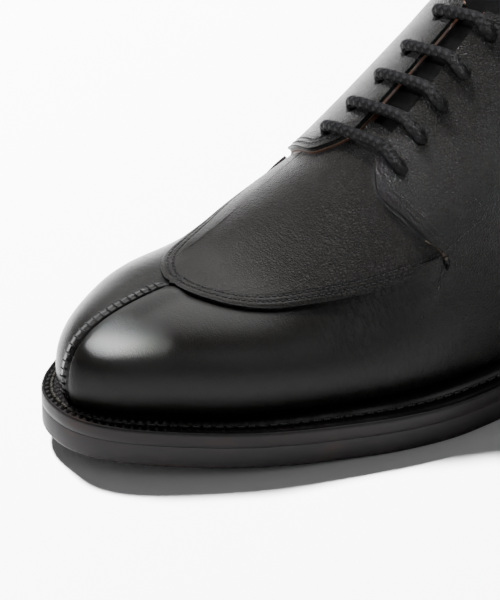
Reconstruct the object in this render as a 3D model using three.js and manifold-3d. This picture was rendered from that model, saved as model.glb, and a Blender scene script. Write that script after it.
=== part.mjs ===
// A left derby shoe with a split toe, a lapped apron, five rows of lacing, a welt and a rubber sole.
// Millimetres, +Z up. The toe points to -Y and the outer side of the foot is at +X.
import * as THREE from 'three';
import { mergeVertices } from 'three/addons/utils/BufferGeometryUtils.js';
import Module from 'manifold-3d';

// Main sizes
const LENGTH = 302;              // outsole, heel to toe
const BALL_WIDTH = 108;          // outsole across the ball
const INSTEP_HEIGHT = 96;        // top of the facings above the welt
const BACK_HEIGHT = 58;          // back of the collar above the welt
const HEEL_HEIGHT = 22;          // floor to the underside of the outsole at the heel
const TOE_SPRING = 6.3;          // rise of the sole at the tip of the toe

// Sole pieces
const OUTSOLE = 7.6;
const MIDSOLE = 2.1;
const WELT = 2.3;
const INSOLE = 2.4;
const TOP_PIECE = 6;             // rubber under the heel
const SOLE_LEDGE = 10;           // widest part of the welt outside the upper
const EDGE_BEVEL = 0.7;
const HEEL_INSET = 1;            // heel block inside the outsole's edge
const BREAST_HOLLOW = 4;         // depth of the curve in the front of the heel
const GAP = 0.3;                 // clearance between pieces that touch
const FOOT_GAP = 0.5;            // clearance under the curved foot of the upper

// Upper pieces
const WALL = 2.2;                // outer leather, stiffener and lining
const OVERLAY = 1.3;             // apron and tongue leather
const SEAM_RISE = 1;             // split seam above the toe
const SEAM_HALF = 3.4;
const FACING_GAP_TOP = 3.2;      // half of the throat at the top of the facings
const FACING_GAP_FOOT = 5.4;     // half of the throat at its foot
const EYELET_SETBACK_TOP = 5;    // eyelet behind the facing's edge, at the top
const EYELET_SETBACK_FOOT = 8.2; // and at the foot of the throat
const EYELET_RADIUS = 2.2;
const LACE_RADIUS = 1.7;

// Stations are shares of LENGTH from the heel. centre and half are shares of BALL_WIDTH,
// outer and inner are shares of SOLE_LEDGE on the two sides of the foot.
const SOLE_SECTIONS = [
  { station: 0.00, centre: 0.000, half: 0.325, outer: 0.36, inner: 0.36 },
  { station: 0.08, centre: 0.000, half: 0.326, outer: 0.36, inner: 0.36 },
  { station: 0.20, centre: 0.004, half: 0.322, outer: 0.40, inner: 0.36 },
  { station: 0.33, centre: 0.024, half: 0.318, outer: 0.50, inner: 0.42 },
  { station: 0.45, centre: 0.034, half: 0.386, outer: 0.66, inner: 0.52 },
  { station: 0.55, centre: 0.024, half: 0.480, outer: 0.86, inner: 0.72 },
  { station: 0.65, centre: 0.008, half: 0.499, outer: 1.00, inner: 0.95 },
  { station: 0.72, centre: -0.016, half: 0.479, outer: 0.98, inner: 1.00 },
  { station: 0.80, centre: -0.047, half: 0.424, outer: 0.92, inner: 1.00 },
  { station: 0.88, centre: -0.070, half: 0.362, outer: 0.82, inner: 0.76 },
  { station: 0.94, centre: -0.069, half: 0.293, outer: 0.76, inner: 0.38 },
  { station: 1.00, centre: -0.085, half: 0.257, outer: 0.56, inner: 0.54 },
];
const TOE_ROUND = { start: 0.78, power: 2.34 };
const HEEL_ROUND = { start: 0.12, power: 2.3 };

// The sole is flat on the floor between these stations, and again under the heel.
const TREAD = { seat: 0.31, back: 0.60, front: 0.68, springPower: 1.9, waistPower: 2.4 };
const HEEL_BREAST = 0.285;

// The ridge line along the top of the foot. side is a share of BALL_WIDTH and rise of INSTEP_HEIGHT.
// crown and wall shape the cross-section, as shares of its half width and of its height,
// and bulge is its overhang at the welt, as a share of SOLE_LEDGE.
const RIDGE = [
  { station: 0.10, side: 0.000, rise: 0.83, crown: 0.84, wall: 0.55, bulge: 0.20 },
  { station: 0.20, side: 0.004, rise: 0.89, crown: 0.78, wall: 0.58, bulge: 0.24 },
  { station: 0.30, side: 0.014, rise: 0.96, crown: 0.66, wall: 0.56, bulge: 0.26 },
  { station: 0.40, side: 0.030, rise: 1.08, crown: 0.56, wall: 0.54, bulge: 0.30 },
  { station: 0.48, side: 0.040, rise: 1.03, crown: 0.46, wall: 0.54, bulge: 0.36 },
  { station: 0.53, side: 0.038, rise: 0.923, crown: 0.41, wall: 0.54, bulge: 0.39 },
  { station: 0.57, side: 0.030, rise: 0.826, crown: 0.405, wall: 0.525, bulge: 0.40 },
  { station: 0.61, side: 0.022, rise: 0.720, crown: 0.41, wall: 0.52, bulge: 0.40 },
  { station: 0.65, side: 0.010, rise: 0.612, crown: 0.435, wall: 0.52, bulge: 0.40 },
  { station: 0.69, side: -0.010, rise: 0.521, crown: 0.49, wall: 0.54, bulge: 0.39 },
  { station: 0.73, side: -0.031, rise: 0.438, crown: 0.56, wall: 0.57, bulge: 0.37 },
  { station: 0.77, side: -0.051, rise: 0.365, crown: 0.645, wall: 0.61, bulge: 0.36 },
  { station: 0.81, side: -0.068, rise: 0.318, crown: 0.75, wall: 0.66, bulge: 0.36 },
  { station: 0.86, side: -0.081, rise: 0.304, crown: 0.86, wall: 0.71, bulge: 0.36 },
];
const RIDGE_TOE = { start: 0.80, reach: 0.05, span: 0.15 };
const RIDGE_HEEL = { start: 0.20, reach: 0.06, span: 0.18 };

// Height of the collar above the welt, as shares of BACK_HEIGHT on the two sides of the foot.
const COLLAR = [
  { station: 0.00, outer: 1.00, inner: 1.00 },
  { station: 0.06, outer: 0.97, inner: 0.97 },
  { station: 0.15, outer: 0.87, inner: 0.89 },
  { station: 0.25, outer: 0.81, inner: 0.84 },
  { station: 0.35, outer: 1.00, inner: 1.03 },
  { station: 0.42, outer: 1.25, inner: 1.27 },
  { station: 0.48, outer: 1.50, inner: 1.50 },
  { station: 0.53, outer: 1.58, inner: 1.57 },
];
const FACING_TOP = 0.522;        // station where the collar meets the facing
const ANKLE = 0.25;              // station of the lowest part of the collar

// Front edge of the facings: degrees round the sole from the heel, at shares of the way down.
const FACING_FRONT = [
  { share: 0.00, angle: 107 },
  { share: 0.06, angle: 108.6 },
  { share: 0.14, angle: 109.8 },
  { share: 0.27, angle: 109.2 },
  { share: 0.42, angle: 108.0 },
  { share: 0.535, angle: 106.5 },
  { share: 0.60, angle: 109.0 },
  { share: 0.70, angle: 113.0 },
  { share: 1.00, angle: 114.0 },
];
// The facings stand over the tongue and apron, and come down to the side of the foot.
const LIFT_DOWN = { start: 0.36, end: 0.68 };
const LIFT_ROUND = { start: 55, end: 80 };
const LIFT = WALL + OVERLAY + 2.5 * GAP;

// Outer edge of the apron: degrees away from the tip of the toe, and the share of the way down.
const APRON_EDGE = [
  { angle: 0, down: 0.045 },
  { angle: 17, down: 0.042 },
  { angle: 32, down: 0.075 },
  { angle: 40, down: 0.138 },
  { angle: 48, down: 0.265 },
  { angle: 55, down: 0.378 },
  { angle: 62, down: 0.482 },
  { angle: 69, down: 0.550 },
  { angle: 76, down: 0.600 },
];
const APRON_BACK = 105;          // degrees from the heel, under the facings
const VAMP_BACK = 102;
const TONGUE = { foot: 0.624, top: 0.455, footSpread: 0.24, topSpread: 0.33, topRound: 0.03 };

// Lacing: the station of each row, its slant, and where a bar is held up over the facing.
const LACE_ROWS = [0.645, 0.619, 0.591, 0.563, 0.529];
const LACE_SKEW = 0.003;
const LACE_ARCH = { shoulder: 0.86, edge: 0.5 };

// The split seam is a rib in front of the apron, within so many degrees of the tip of the toe.
const SEAM_SPREAD = 30;
const SEAM_DOWN = { start: 0.07, end: 0.14 };

// The quarters and the vamp are two walls that run into each other between these places.
const MEET_ROUND = { start: 106, end: 114 };
const MEET_DOWN = { start: 0.5, end: 0.7 };
const DIVE = 0.3;                // each wall thins by this inside the other
const DIVE_FOOT = 0.008;         // and stops short of the welt by this share
const APRON_CLEAR = 0.6;         // degrees between the apron and the facings

const SOLE_THICKNESS = OUTSOLE + MIDSOLE + WELT + 2 * GAP;
const clamp = (x) => Math.min(1, Math.max(0, x));
const smooth = (x) => clamp(x) ** 2 * (3 - 2 * clamp(x));
const ramp = ({ start, end }, x) => smooth((x - start) / (end - start));
const mix = (a, b, t) => a + (b - a) * t;
const radians = THREE.MathUtils.degToRad;

// A smooth curve through one column of a table, along the column named by key.
function curve(table, column, at, key = 'station') {
  const last = table.length - 1;
  const x = Math.min(table[last][key], Math.max(table[0][key], at));
  let i = 0;
  while (i < last - 1 && x > table[i + 1][key]) i += 1;
  const slope = (k) => {
    const a = table[Math.max(0, k - 1)];
    const b = table[Math.min(last, k + 1)];
    return (b[column] - a[column]) / (b[key] - a[key]);
  };
  const span = table[i + 1][key] - table[i][key];
  const t = (x - table[i][key]) / span;
  const from = table[i][column] * (2 * t ** 3 - 3 * t ** 2 + 1) + slope(i) * span * (t ** 3 - 2 * t ** 2 + t);
  const to = table[i + 1][column] * (3 * t ** 2 - 2 * t ** 3) + slope(i + 1) * span * (t ** 3 - t ** 2);
  return from + to;
}

// Places round the sole are angles in degrees: 0 at the back of the heel, 90 at half length on
// the outer side, 180 at the tip of the toe, and on round the inner side.
const TOE = 180;
const stationAt = (angle) => (1 - Math.cos(radians(angle))) / 2;
const angleAt = (station) => THREE.MathUtils.radToDeg(Math.acos(1 - 2 * station));
const isOuter = (angle) => Math.sin(radians(angle)) >= 0;
const sideColumn = (angle) => (isOuter(angle) ? 'outer' : 'inner');
const fromHeel = (angle) => (isOuter(angle) ? angle : 360 - angle);

function outline(angle) {
  const station = stationAt(angle);
  const toe = clamp((station - TOE_ROUND.start) / (1 - TOE_ROUND.start));
  const heel = clamp((HEEL_ROUND.start - station) / HEEL_ROUND.start);
  const toeRound = Math.max(0, 1 - toe ** TOE_ROUND.power) ** (1 / TOE_ROUND.power);
  const heelRound = Math.max(0, 1 - heel ** HEEL_ROUND.power) ** (1 / HEEL_ROUND.power);
  const half = curve(SOLE_SECTIONS, 'half', station) * toeRound * heelRound;
  const centre = curve(SOLE_SECTIONS, 'centre', station);
  const side = isOuter(angle) ? 1 : -1;
  return new THREE.Vector2((centre + side * half) * BALL_WIDTH, (0.5 - station) * LENGTH);
}

// The sole's outline moved inwards by a distance.
function insetOutline(angle, distance) {
  const step = 0.05;
  const along = outline(angle + step).sub(outline(angle - step)).normalize();
  const point = outline(angle);
  return new THREE.Vector2(point.x + along.y * distance, point.y - along.x * distance);
}

// Height of the sole's underside above the floor.
function underside(y) {
  const station = 0.5 - y / LENGTH;
  const spring = clamp((station - TREAD.front) / (1 - TREAD.front));
  const waist = clamp((TREAD.back - station) / (TREAD.back - TREAD.seat));
  const rise = waist ** TREAD.waistPower * (1 + TREAD.waistPower * (1 - waist));
  return TOE_SPRING * spring ** TREAD.springPower + HEEL_HEIGHT * rise;
}

const ledge = (angle) => SOLE_LEDGE * curve(SOLE_SECTIONS, sideColumn(angle), stationAt(angle));

// Stations along the ridge close up at the toe and the heel, where the sections fan out.
function ridgeStation(station) {
  const toe = 1 - (1 - clamp((station - RIDGE_TOE.start) / RIDGE_TOE.span)) ** 3;
  const heel = 1 - (1 - clamp((RIDGE_HEEL.start - station) / RIDGE_HEEL.span)) ** 3;
  const middle = Math.min(RIDGE_TOE.start, Math.max(RIDGE_HEEL.start, station));
  return middle + RIDGE_TOE.reach * toe - RIDGE_HEEL.reach * heel;
}

function ridgePoint(station) {
  const y = (0.5 - station) * LENGTH;
  const z = underside(y) + SOLE_THICKNESS + curve(RIDGE, 'rise', station) * INSTEP_HEIGHT;
  return new THREE.Vector3(curve(RIDGE, 'side', station) * BALL_WIDTH, y, z);
}

// One cross-section of the upper, from the ridge down to the welt.
function section(angle) {
  const foot = insetOutline(angle, ledge(angle));
  const bottom = new THREE.Vector3(foot.x, foot.y, underside(foot.y) + SOLE_THICKNESS + FOOT_GAP);
  const station = ridgeStation(stationAt(angle));
  const top = ridgePoint(station);
  const out = new THREE.Vector3(bottom.x - top.x, bottom.y - top.y, 0);
  const reach = out.length();
  out.divideScalar(reach);
  const step = 0.001;
  const ahead = ridgePoint(station + step);
  const behind = ridgePoint(station - step);
  const slope = ((ahead.z - behind.z) / (ahead.y - behind.y)) * out.y;
  const crown = curve(RIDGE, 'crown', station) * reach;
  const shoulder = top.clone().addScaledVector(out, crown);
  shoulder.z += slope * crown;
  const hip = bottom.clone().addScaledVector(out, curve(RIDGE, 'bulge', station) * SOLE_LEDGE);
  hip.z += curve(RIDGE, 'wall', station) * (top.z - bottom.z);
  return new THREE.CubicBezierCurve3(top, shoulder, hip, bottom);
}

const skin = (angle, down) => section(angle).getPoint(down);

function skinNormal(angle, down) {
  const step = 0.01;
  const round = skin(angle + step * 10, down).sub(skin(angle - step * 10, down));
  const fall = skin(angle, Math.min(1, down + step)).sub(skin(angle, Math.max(0, down - step)));
  return round.cross(fall).normalize();
}

// The share down a section where a measure of its points first passes a limit.
function shareWhere(angle, passed) {
  const line = section(angle);
  let low = 0;
  let high = 1;
  while (high - low > 1e-7) {
    const middle = (low + high) / 2;
    if (passed(line.getPoint(middle))) high = middle;
    else low = middle;
  }
  return high;
}

const shareAside = (angle, distance) => {
  const axis = skin(angle, 0).x;
  return shareWhere(angle, (point) => Math.abs(point.x - axis) > distance);
};

const throatShare = (station) => clamp((station - FACING_TOP) / (LACE_ROWS[0] - FACING_TOP));
const facingGap = (station) => mix(FACING_GAP_TOP, FACING_GAP_FOOT, throatShare(station));

// Where the quarters end at the top: along the collar, then along the facings.
function quarterTop(angle) {
  const station = stationAt(angle);
  if (station >= FACING_TOP) return shareAside(angle, facingGap(station));
  const foot = section(angle).getPoint(1);
  const height = foot.z + curve(COLLAR, sideColumn(angle), station) * BACK_HEIGHT;
  const edge = shareWhere(angle, (point) => point.z < height);
  return station < ANKLE ? edge : Math.max(edge, shareAside(angle, FACING_GAP_TOP));
}

// Height of the facings' outer face over the skin.
function facingLift(angle, down) {
  return LIFT * (1 - ramp(LIFT_DOWN, down)) * ramp(LIFT_ROUND, fromHeel(angle));
}

// A grid of places on the skin. Points that coincide are shared, so a ridge or a fan closes.
function patch(columns, rows, place) {
  const points = [];
  const faces = [];
  const known = new Map();
  const number = (column, row) => {
    const { angle, down } = place(column, row);
    const at = skin(angle, down);
    const key = at.toArray().map((value) => value.toFixed(3)).join(' ');
    if (!known.has(key)) {
      known.set(key, points.length);
      points.push({ at, angle, down });
    }
    return known.get(key);
  };
  const grid = columns.map((column) => rows.map((row) => number(column, row)));
  const addFace = (a, b, c) => {
    if (a !== b && b !== c && c !== a) faces.push([a, b, c]);
  };
  for (let i = 0; i < columns.length - 1; i += 1) {
    for (let j = 0; j < rows.length - 1; j += 1) {
      addFace(grid[i][j], grid[i + 1][j], grid[i + 1][j + 1]);
      addFace(grid[i][j], grid[i + 1][j + 1], grid[i][j + 1]);
    }
  }
  return { points, faces };
}

// A closed wall over a patch, between two heights above the skin.
function wallOver({ points, faces }, low, high) {
  const normals = points.map(() => new THREE.Vector3());
  for (const [a, b, c] of faces) {
    const side = points[b].at.clone().sub(points[a].at);
    const face = side.cross(points[c].at.clone().sub(points[a].at));
    for (const corner of [a, b, c]) normals[corner].add(face);
  }
  const count = points.length;
  const place = (height) => points.map((point, i) =>
    point.at.clone().addScaledVector(normals[i].clone().normalize(), height(point)));
  const edges = new Set(faces.flatMap(([a, b, c]) => [`${a} ${b}`, `${b} ${c}`, `${c} ${a}`]));
  const closed = faces.flatMap(([a, b, c]) => [[a, b, c], [c + count, b + count, a + count]]);
  for (const edge of edges) {
    const [a, b] = edge.split(' ').map(Number);
    if (!edges.has(`${b} ${a}`)) closed.push([b, a, a + count], [b, a + count, b + count]);
  }
  return geometryOf([...place(high), ...place(low)], closed);
}

function geometryOf(points, faces) {
  const geometry = new THREE.BufferGeometry().setFromPoints(points);
  geometry.setIndex(faces.flat());
  return geometry;
}

// A closed body through level rings of equal length, with flat caps worked out from the first ring.
function bodyThrough(rings) {
  const count = rings[0].length;
  const flat = rings[0].map((point) => new THREE.Vector2(point.x, point.y));
  const cap = THREE.ShapeUtils.triangulateShape(flat, []);
  const turn = THREE.ShapeUtils.isClockWise(flat) ? -1 : 1;
  const faces = [];
  const top = (rings.length - 1) * count;
  for (const [a, b, c] of cap) {
    faces.push([c, b, a], [a + top, b + top, c + top]);
  }
  for (let k = 0; k < rings.length - 1; k += 1) {
    for (let i = 0; i < count; i += 1) {
      const j = (i + 1) % count;
      const quad = [k * count + i, k * count + j, (k + 1) * count + j, (k + 1) * count + i];
      if (turn < 0) quad.reverse();
      faces.push([quad[0], quad[1], quad[2]], [quad[0], quad[2], quad[3]]);
    }
  }
  return geometryOf(rings.flat(), faces);
}

// Even steps between stops, such as angles round the sole.
function stepsBetween(stops) {
  const values = [stops[0].at];
  for (let i = 1; i < stops.length; i += 1) {
    const from = stops[i - 1].at;
    const { at, steps } = stops[i];
    for (let k = 1; k <= steps; k += 1) values.push(mix(from, at, k / steps));
  }
  return values;
}

const wasm = await Module();
wasm.setup();

function solidOf(geometry) {
  const vertProperties = new Float32Array(geometry.attributes.position.array);
  const triVerts = new Uint32Array(geometry.index.array);
  return new wasm.Manifold(new wasm.Mesh({ numProp: 3, vertProperties, triVerts }));
}

function geometryFrom(solid) {
  const mesh = solid.getMesh();
  const geometry = new THREE.BufferGeometry();
  geometry.setAttribute('position', new THREE.BufferAttribute(new Float32Array(mesh.vertProperties), 3));
  geometry.setIndex(new THREE.BufferAttribute(new Uint32Array(mesh.triVerts), 1));
  return geometry;
}

// A solid from a stock geometry, whose corners are stored once for each face.
function solidFrom(geometry) {
  geometry.deleteAttribute('normal');
  geometry.deleteAttribute('uv');
  return solidOf(mergeVertices(geometry, 0.001));
}

// Sole: slabs that follow the outline, bent up at the waist and the toe
const SOLE_ANGLES = stepsBetween([
  { at: 0 }, { at: 42, steps: 7 }, { at: 138, steps: 16 }, { at: 180, steps: 8 },
]);
const ROUND_ANGLES = [...SOLE_ANGLES, ...SOLE_ANGLES.slice(1, -1).reverse().map((angle) => 360 - angle)];

// Each ring of a slab is given by its inset from the outline and its height over the underside.
const slabRing = ({ inset, height }) => ROUND_ANGLES.map((angle) => {
  const extra = typeof inset === 'function' ? inset(angle) : inset;
  const point = insetOutline(angle, extra);
  return new THREE.Vector3(point.x, point.y, underside(point.y) + height);
});

// A slab's caps are strips straight across the foot, so that they bend only along it.
function slab(rings) {
  const loops = rings.map(slabRing);
  const count = ROUND_ANGLES.length;
  const faces = [];
  const top = (loops.length - 1) * count;
  const strip = (a, b, c, d) => {
    for (const [p, q, r] of [[a, b, c], [a, c, d]]) {
      if (p !== q && q !== r && r !== p) {
        faces.push([r, q, p], [p + top, q + top, r + top]);
      }
    }
  };
  for (let i = 0; i < count / 2; i += 1) {
    strip(i, (count - i) % count, count - i - 1, i + 1);
  }
  for (let k = 0; k < loops.length - 1; k += 1) {
    for (let i = 0; i < count; i += 1) {
      const j = (i + 1) % count;
      const [a, b, c, d] = [k * count + i, k * count + j, (k + 1) * count + j, (k + 1) * count + i];
      faces.push([c, b, a], [d, c, a]);
    }
  }
  return geometryOf(loops.flat(), faces);
}

function bevelledSlab(base, thickness) {
  return slab([
    { inset: EDGE_BEVEL, height: base },
    { inset: 0, height: base + EDGE_BEVEL },
    { inset: 0, height: base + thickness - EDGE_BEVEL },
    { inset: EDGE_BEVEL, height: base + thickness },
  ]);
}

// The welt is a strip round the whole sole, under the edge of the upper.
const weltBase = OUTSOLE + MIDSOLE + 2 * GAP;
const weltInner = (angle) => ledge(angle) + WALL + 2 * GAP;

function weltStrip() {
  const rings = [
    { inset: 0, height: weltBase },
    { inset: 0, height: weltBase + WELT - EDGE_BEVEL },
    { inset: EDGE_BEVEL, height: weltBase + WELT },
    { inset: weltInner, height: weltBase + WELT },
    { inset: weltInner, height: weltBase },
  ].map(slabRing);
  const count = ROUND_ANGLES.length;
  const faces = [];
  for (let k = 0; k < rings.length; k += 1) {
    const next = (k + 1) % rings.length;
    for (let i = 0; i < count; i += 1) {
      const j = (i + 1) % count;
      faces.push([next * count + j, k * count + j, k * count + i]);
      faces.push([next * count + i, next * count + j, k * count + i]);
    }
  }
  return geometryOf(rings.flat(), faces);
}

function insoleSlab() {
  const inset = (angle) => weltInner(angle) + GAP;
  return slab([{ inset, height: weltBase }, { inset, height: weltBase + INSOLE }]);
}

// Heel: level blocks behind a hollow breast
function heelRing(inset, z) {
  const breast = (0.5 - HEEL_BREAST) * LENGTH + inset;
  const angles = stepsBetween([{ at: -angleAt(HEEL_BREAST) }, { at: angleAt(HEEL_BREAST), steps: 22 }]);
  const back = angles.map((angle) => insetOutline(angle, inset));
  const left = back[back.length - 1];
  const right = back[0];
  const front = stepsBetween([{ at: 0 }, { at: 1, steps: 5 }]).map((t) =>
    new THREE.Vector2(mix(left.x, right.x, t), breast + BREAST_HOLLOW * 4 * t * (1 - t)));
  return [...back.slice(1, -1), ...front].map((point) => new THREE.Vector3(point.x, point.y, z));
}

function heelBlock(base, top) {
  return bodyThrough([heelRing(HEEL_INSET + EDGE_BEVEL, base), heelRing(HEEL_INSET, base + EDGE_BEVEL),
    heelRing(HEEL_INSET, top)]);
}

// Upper: the quarters and the vamp are walls over the skin, joined along the sides of the foot
const meetShare = (angle) => ramp(MEET_ROUND, fromHeel(angle));

function quarters() {
  const shares = stepsBetween([{ at: 0 }, { at: 0.14, steps: 3 }, { at: 0.535, steps: 6 },
    { at: 0.70, steps: 3 }, { at: 1, steps: 3 }]);
  const corner = angleAt(FACING_TOP) / FACING_FRONT[0].angle;
  const half = stepsBetween([{ at: 0 }, { at: 0.5, steps: 8 }, { at: 0.78, steps: 5 },
    { at: corner, steps: 7 }, { at: 1, steps: 7 }]);
  const columns = [...half.slice(1).reverse().map((value) => -value), ...half];
  const place = (column, share) => {
    const angle = column * curve(FACING_FRONT, 'angle', share, 'share');
    const round = (angle + 360) % 360;
    const foot = 1 - DIVE_FOOT * meetShare(round);
    return { angle: round, down: mix(quarterTop(round), foot, share) };
  };
  const dive = ({ angle, down }) => DIVE * meetShare(angle) * ramp(MEET_DOWN, down);
  const high = (point) => facingLift(point.angle, point.down) - dive(point);
  const low = (point) => facingLift(point.angle, point.down) - WALL + dive(point);
  return wallOver(patch(columns, shares, place), low, high);
}

function seamRise({ at, angle, down }) {
  if (Math.abs(angle - TOE) > SEAM_SPREAD) return 0;
  const aside = Math.abs(at.x - skin(TOE, down).x) / SEAM_HALF;
  return SEAM_RISE * smooth(1 - aside) * ramp(SEAM_DOWN, down);
}

function vamp() {
  const half = stepsBetween([{ at: 0 }, { at: 3, steps: 2 }, { at: 10, steps: 2 }, { at: 26, steps: 3 },
    { at: 66, steps: 10 }, { at: TOE - VAMP_BACK, steps: 4 }]);
  const shares = stepsBetween([{ at: 0 }, { at: 0.14, steps: 3 }, { at: 0.9, steps: 8 },
    { at: 1, steps: 2 }]);
  const columns = [...half.slice(1).reverse().map((value) => -value), ...half];
  const away = (angle) => 1 - meetShare(angle);
  const place = (column, share) => {
    const angle = TOE + column;
    return { angle, down: share * (1 - DIVE_FOOT * away(angle)) };
  };
  const dive = (angle) => DIVE * away(angle);
  const high = (point) => seamRise(point) - dive(point.angle);
  const low = (point) => dive(point.angle) - WALL;
  return wallOver(patch(columns, shares, place), low, high);
}

// Points of the lacing: an eyelet is set back from the facing's edge, at a height over the skin.
// The rows run a little backwards from the inner side to the outer side.
function eyeletPlace(row, side) {
  const station = row - side * LACE_SKEW;
  const angle = side > 0 ? angleAt(station) : 360 - angleAt(station);
  const setback = mix(EYELET_SETBACK_TOP, EYELET_SETBACK_FOOT, throatShare(station) ** 2);
  const down = shareAside(angle, facingGap(station) + setback);
  return { angle, down, at: skin(angle, down), normal: skinNormal(angle, down) };
}

function eyeletCutter(station, side) {
  const { at, normal } = eyeletPlace(station, side);
  const rod = new THREE.CylinderGeometry(EYELET_RADIUS, EYELET_RADIUS, WALL * 2, 10);
  rod.applyQuaternion(new THREE.Quaternion().setFromUnitVectors(new THREE.Vector3(0, 1, 0), normal));
  const centre = at.clone().addScaledVector(normal, LIFT - WALL / 2);
  rod.translate(...centre.toArray());
  return solidFrom(rod);
}

function upperShell() {
  let shell = solidOf(quarters()).add(solidOf(vamp()));
  for (const station of LACE_ROWS) {
    for (const side of [1, -1]) shell = shell.subtract(eyeletCutter(station, side));
  }
  return geometryFrom(shell);
}

// Apron: an overlay inside its edge. Its back lies under the facings, and lower down it stops
// just in front of them.
function apronReach(share) {
  const down = APRON_EDGE[APRON_EDGE.length - 1].down * share;
  if (down < LIFT_DOWN.start) return TOE - APRON_BACK;
  const top = quarterTop(FACING_FRONT[0].angle);
  const front = curve(FACING_FRONT, 'angle', (down - top) / (1 - top), 'share');
  return TOE - front - APRON_CLEAR;
}

function apron() {
  const half = stepsBetween([{ at: 0 }, { at: 0.43, steps: 5 }, { at: 0.88, steps: 9 },
    { at: 1, steps: 3 }]);
  const columns = [...half.slice(1).reverse().map((value) => -value), ...half];
  const shares = stepsBetween([{ at: 0 }, { at: 1, steps: 9 }]);
  const place = (column, share) => {
    const away = column * apronReach(share);
    const down = curve(APRON_EDGE, 'down', Math.abs(away), 'angle') * share;
    return { angle: TOE + away, down };
  };
  return wallOver(patch(columns, shares, place), () => GAP, () => GAP + OVERLAY);
}

function tongue() {
  const lengths = stepsBetween([{ at: 0 }, { at: 1, steps: 9 }]);
  const shares = stepsBetween([{ at: 1 }, { at: -1, steps: 8 }]);
  const place = (length, share) => {
    const end = TONGUE.top + TONGUE.topRound * share ** 2;
    const station = mix(TONGUE.foot, end, length);
    const spread = mix(TONGUE.footSpread, TONGUE.topSpread, smooth(length));
    const angle = share < 0 ? 360 - angleAt(station) : angleAt(station);
    return { angle, down: Math.abs(share) * spread };
  };
  return wallOver(patch(lengths, shares, place), () => GAP, () => GAP + OVERLAY);
}

// Lace: one bar over each row, its ends turned down into the eyelets
function laceBar(station) {
  const over = LIFT + LACE_RADIUS + GAP;
  const arm = (side) => {
    const { angle, down, at, normal } = eyeletPlace(station, side);
    const middle = down * LACE_ARCH.edge;
    return [
      at.clone().addScaledVector(normal, LIFT - WALL + GAP),
      at.clone().addScaledVector(normal, LIFT),
      skin(angle, down * LACE_ARCH.shoulder).addScaledVector(normal, over),
      skin(angle, middle).addScaledVector(skinNormal(angle, middle), over),
    ];
  };
  const outer = arm(1);
  const inner = arm(-1).reverse();
  const path = new THREE.CatmullRomCurve3([...outer, ...inner]);
  const ring = new THREE.Shape().absarc(0, 0, LACE_RADIUS, 0, Math.PI * 2);
  return new THREE.ExtrudeGeometry(ring, { steps: 14, curveSegments: 4, extrudePath: path });
}

const LEATHER = 0x17171a;
const finishes = {
  calf: { color: LEATHER, roughness: 0.35 },
  tongueLeather: { color: 0x1c1c1f, roughness: 0.6 },
  edge: { color: 0x1f1e20, roughness: 0.45 },
  rubber: { color: 0x202022, roughness: 0.75 },
  lining: { color: 0x9a6a45, roughness: 0.7 },
  lacing: { color: 0x1a1a1d, roughness: 0.8 },
};

const shoe = new THREE.Group();
function add(name, geometry, finish) {
  const mesh = new THREE.Mesh(geometry, new THREE.MeshStandardMaterial({ ...finish, metalness: 0 }));
  mesh.name = name;
  shoe.add(mesh);
}

add('outsole', bevelledSlab(0, OUTSOLE), finishes.rubber);
add('midsole', bevelledSlab(OUTSOLE + GAP, MIDSOLE), finishes.edge);
add('welt', weltStrip(), finishes.edge);
add('insole', insoleSlab(), finishes.lining);
add('heel_stack', heelBlock(TOP_PIECE + GAP, HEEL_HEIGHT - GAP), finishes.edge);
add('heel_top_piece', heelBlock(0, TOP_PIECE), finishes.rubber);
add('upper', upperShell(), finishes.calf);
add('apron', apron(), finishes.calf);
add('tongue', tongue(), finishes.tongueLeather);
LACE_ROWS.forEach((station, row) => add(`lace_bar_${row + 1}`, laceBar(station), finishes.lacing));

// The origin is under the middle of the outsole.
const sides = ROUND_ANGLES.map((angle) => outline(angle).x);
shoe.position.x = -(Math.min(...sides) + Math.max(...sides)) / 2;

export default shoe;
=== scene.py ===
"""A left derby shoe: grained leather, stitching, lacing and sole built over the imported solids.

Lengths are in millimetres until a mesh is made. +Z is up, the toe points to -Y, and the outer
side of the foot is at +X.
"""

import math

import bmesh
import bpy
import numpy as np
from mathutils import Matrix, Vector


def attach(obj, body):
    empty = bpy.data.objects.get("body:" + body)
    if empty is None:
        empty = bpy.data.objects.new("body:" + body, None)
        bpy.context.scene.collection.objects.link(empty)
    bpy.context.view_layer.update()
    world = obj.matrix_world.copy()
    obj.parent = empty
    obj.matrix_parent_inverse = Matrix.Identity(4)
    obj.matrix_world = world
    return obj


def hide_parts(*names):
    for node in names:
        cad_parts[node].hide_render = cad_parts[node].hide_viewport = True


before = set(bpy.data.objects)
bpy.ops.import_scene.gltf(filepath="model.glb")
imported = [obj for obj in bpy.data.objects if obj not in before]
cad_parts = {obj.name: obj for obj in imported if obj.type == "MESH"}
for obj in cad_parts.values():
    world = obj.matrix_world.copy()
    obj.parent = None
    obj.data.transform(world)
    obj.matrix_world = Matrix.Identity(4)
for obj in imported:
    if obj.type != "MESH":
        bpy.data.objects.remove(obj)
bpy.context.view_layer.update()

# Sizes and tables of the solids
LENGTH = 302
BALL_WIDTH = 108
INSTEP_HEIGHT = 96
BACK_HEIGHT = 58
HEEL_HEIGHT = 22
TOE_SPRING = 6.3
OUTSOLE = 7.6
MIDSOLE = 2.1
WELT = 2.3
TOP_PIECE = 6
SOLE_LEDGE = 10
HEEL_INSET = 1
BREAST_HOLLOW = 4
GAP = 0.3
FOOT_GAP = 0.5
WALL = 2.2
OVERLAY = 1.3
FACING_GAP_TOP = 3.2
FACING_GAP_FOOT = 5.4
EYELET_SETBACK_TOP = 5
EYELET_SETBACK_FOOT = 8.2
HEEL_BREAST = 0.285
SOLE_THICKNESS = OUTSOLE + MIDSOLE + WELT + 2 * GAP
LIFT = WALL + OVERLAY + 2.5 * GAP
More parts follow.
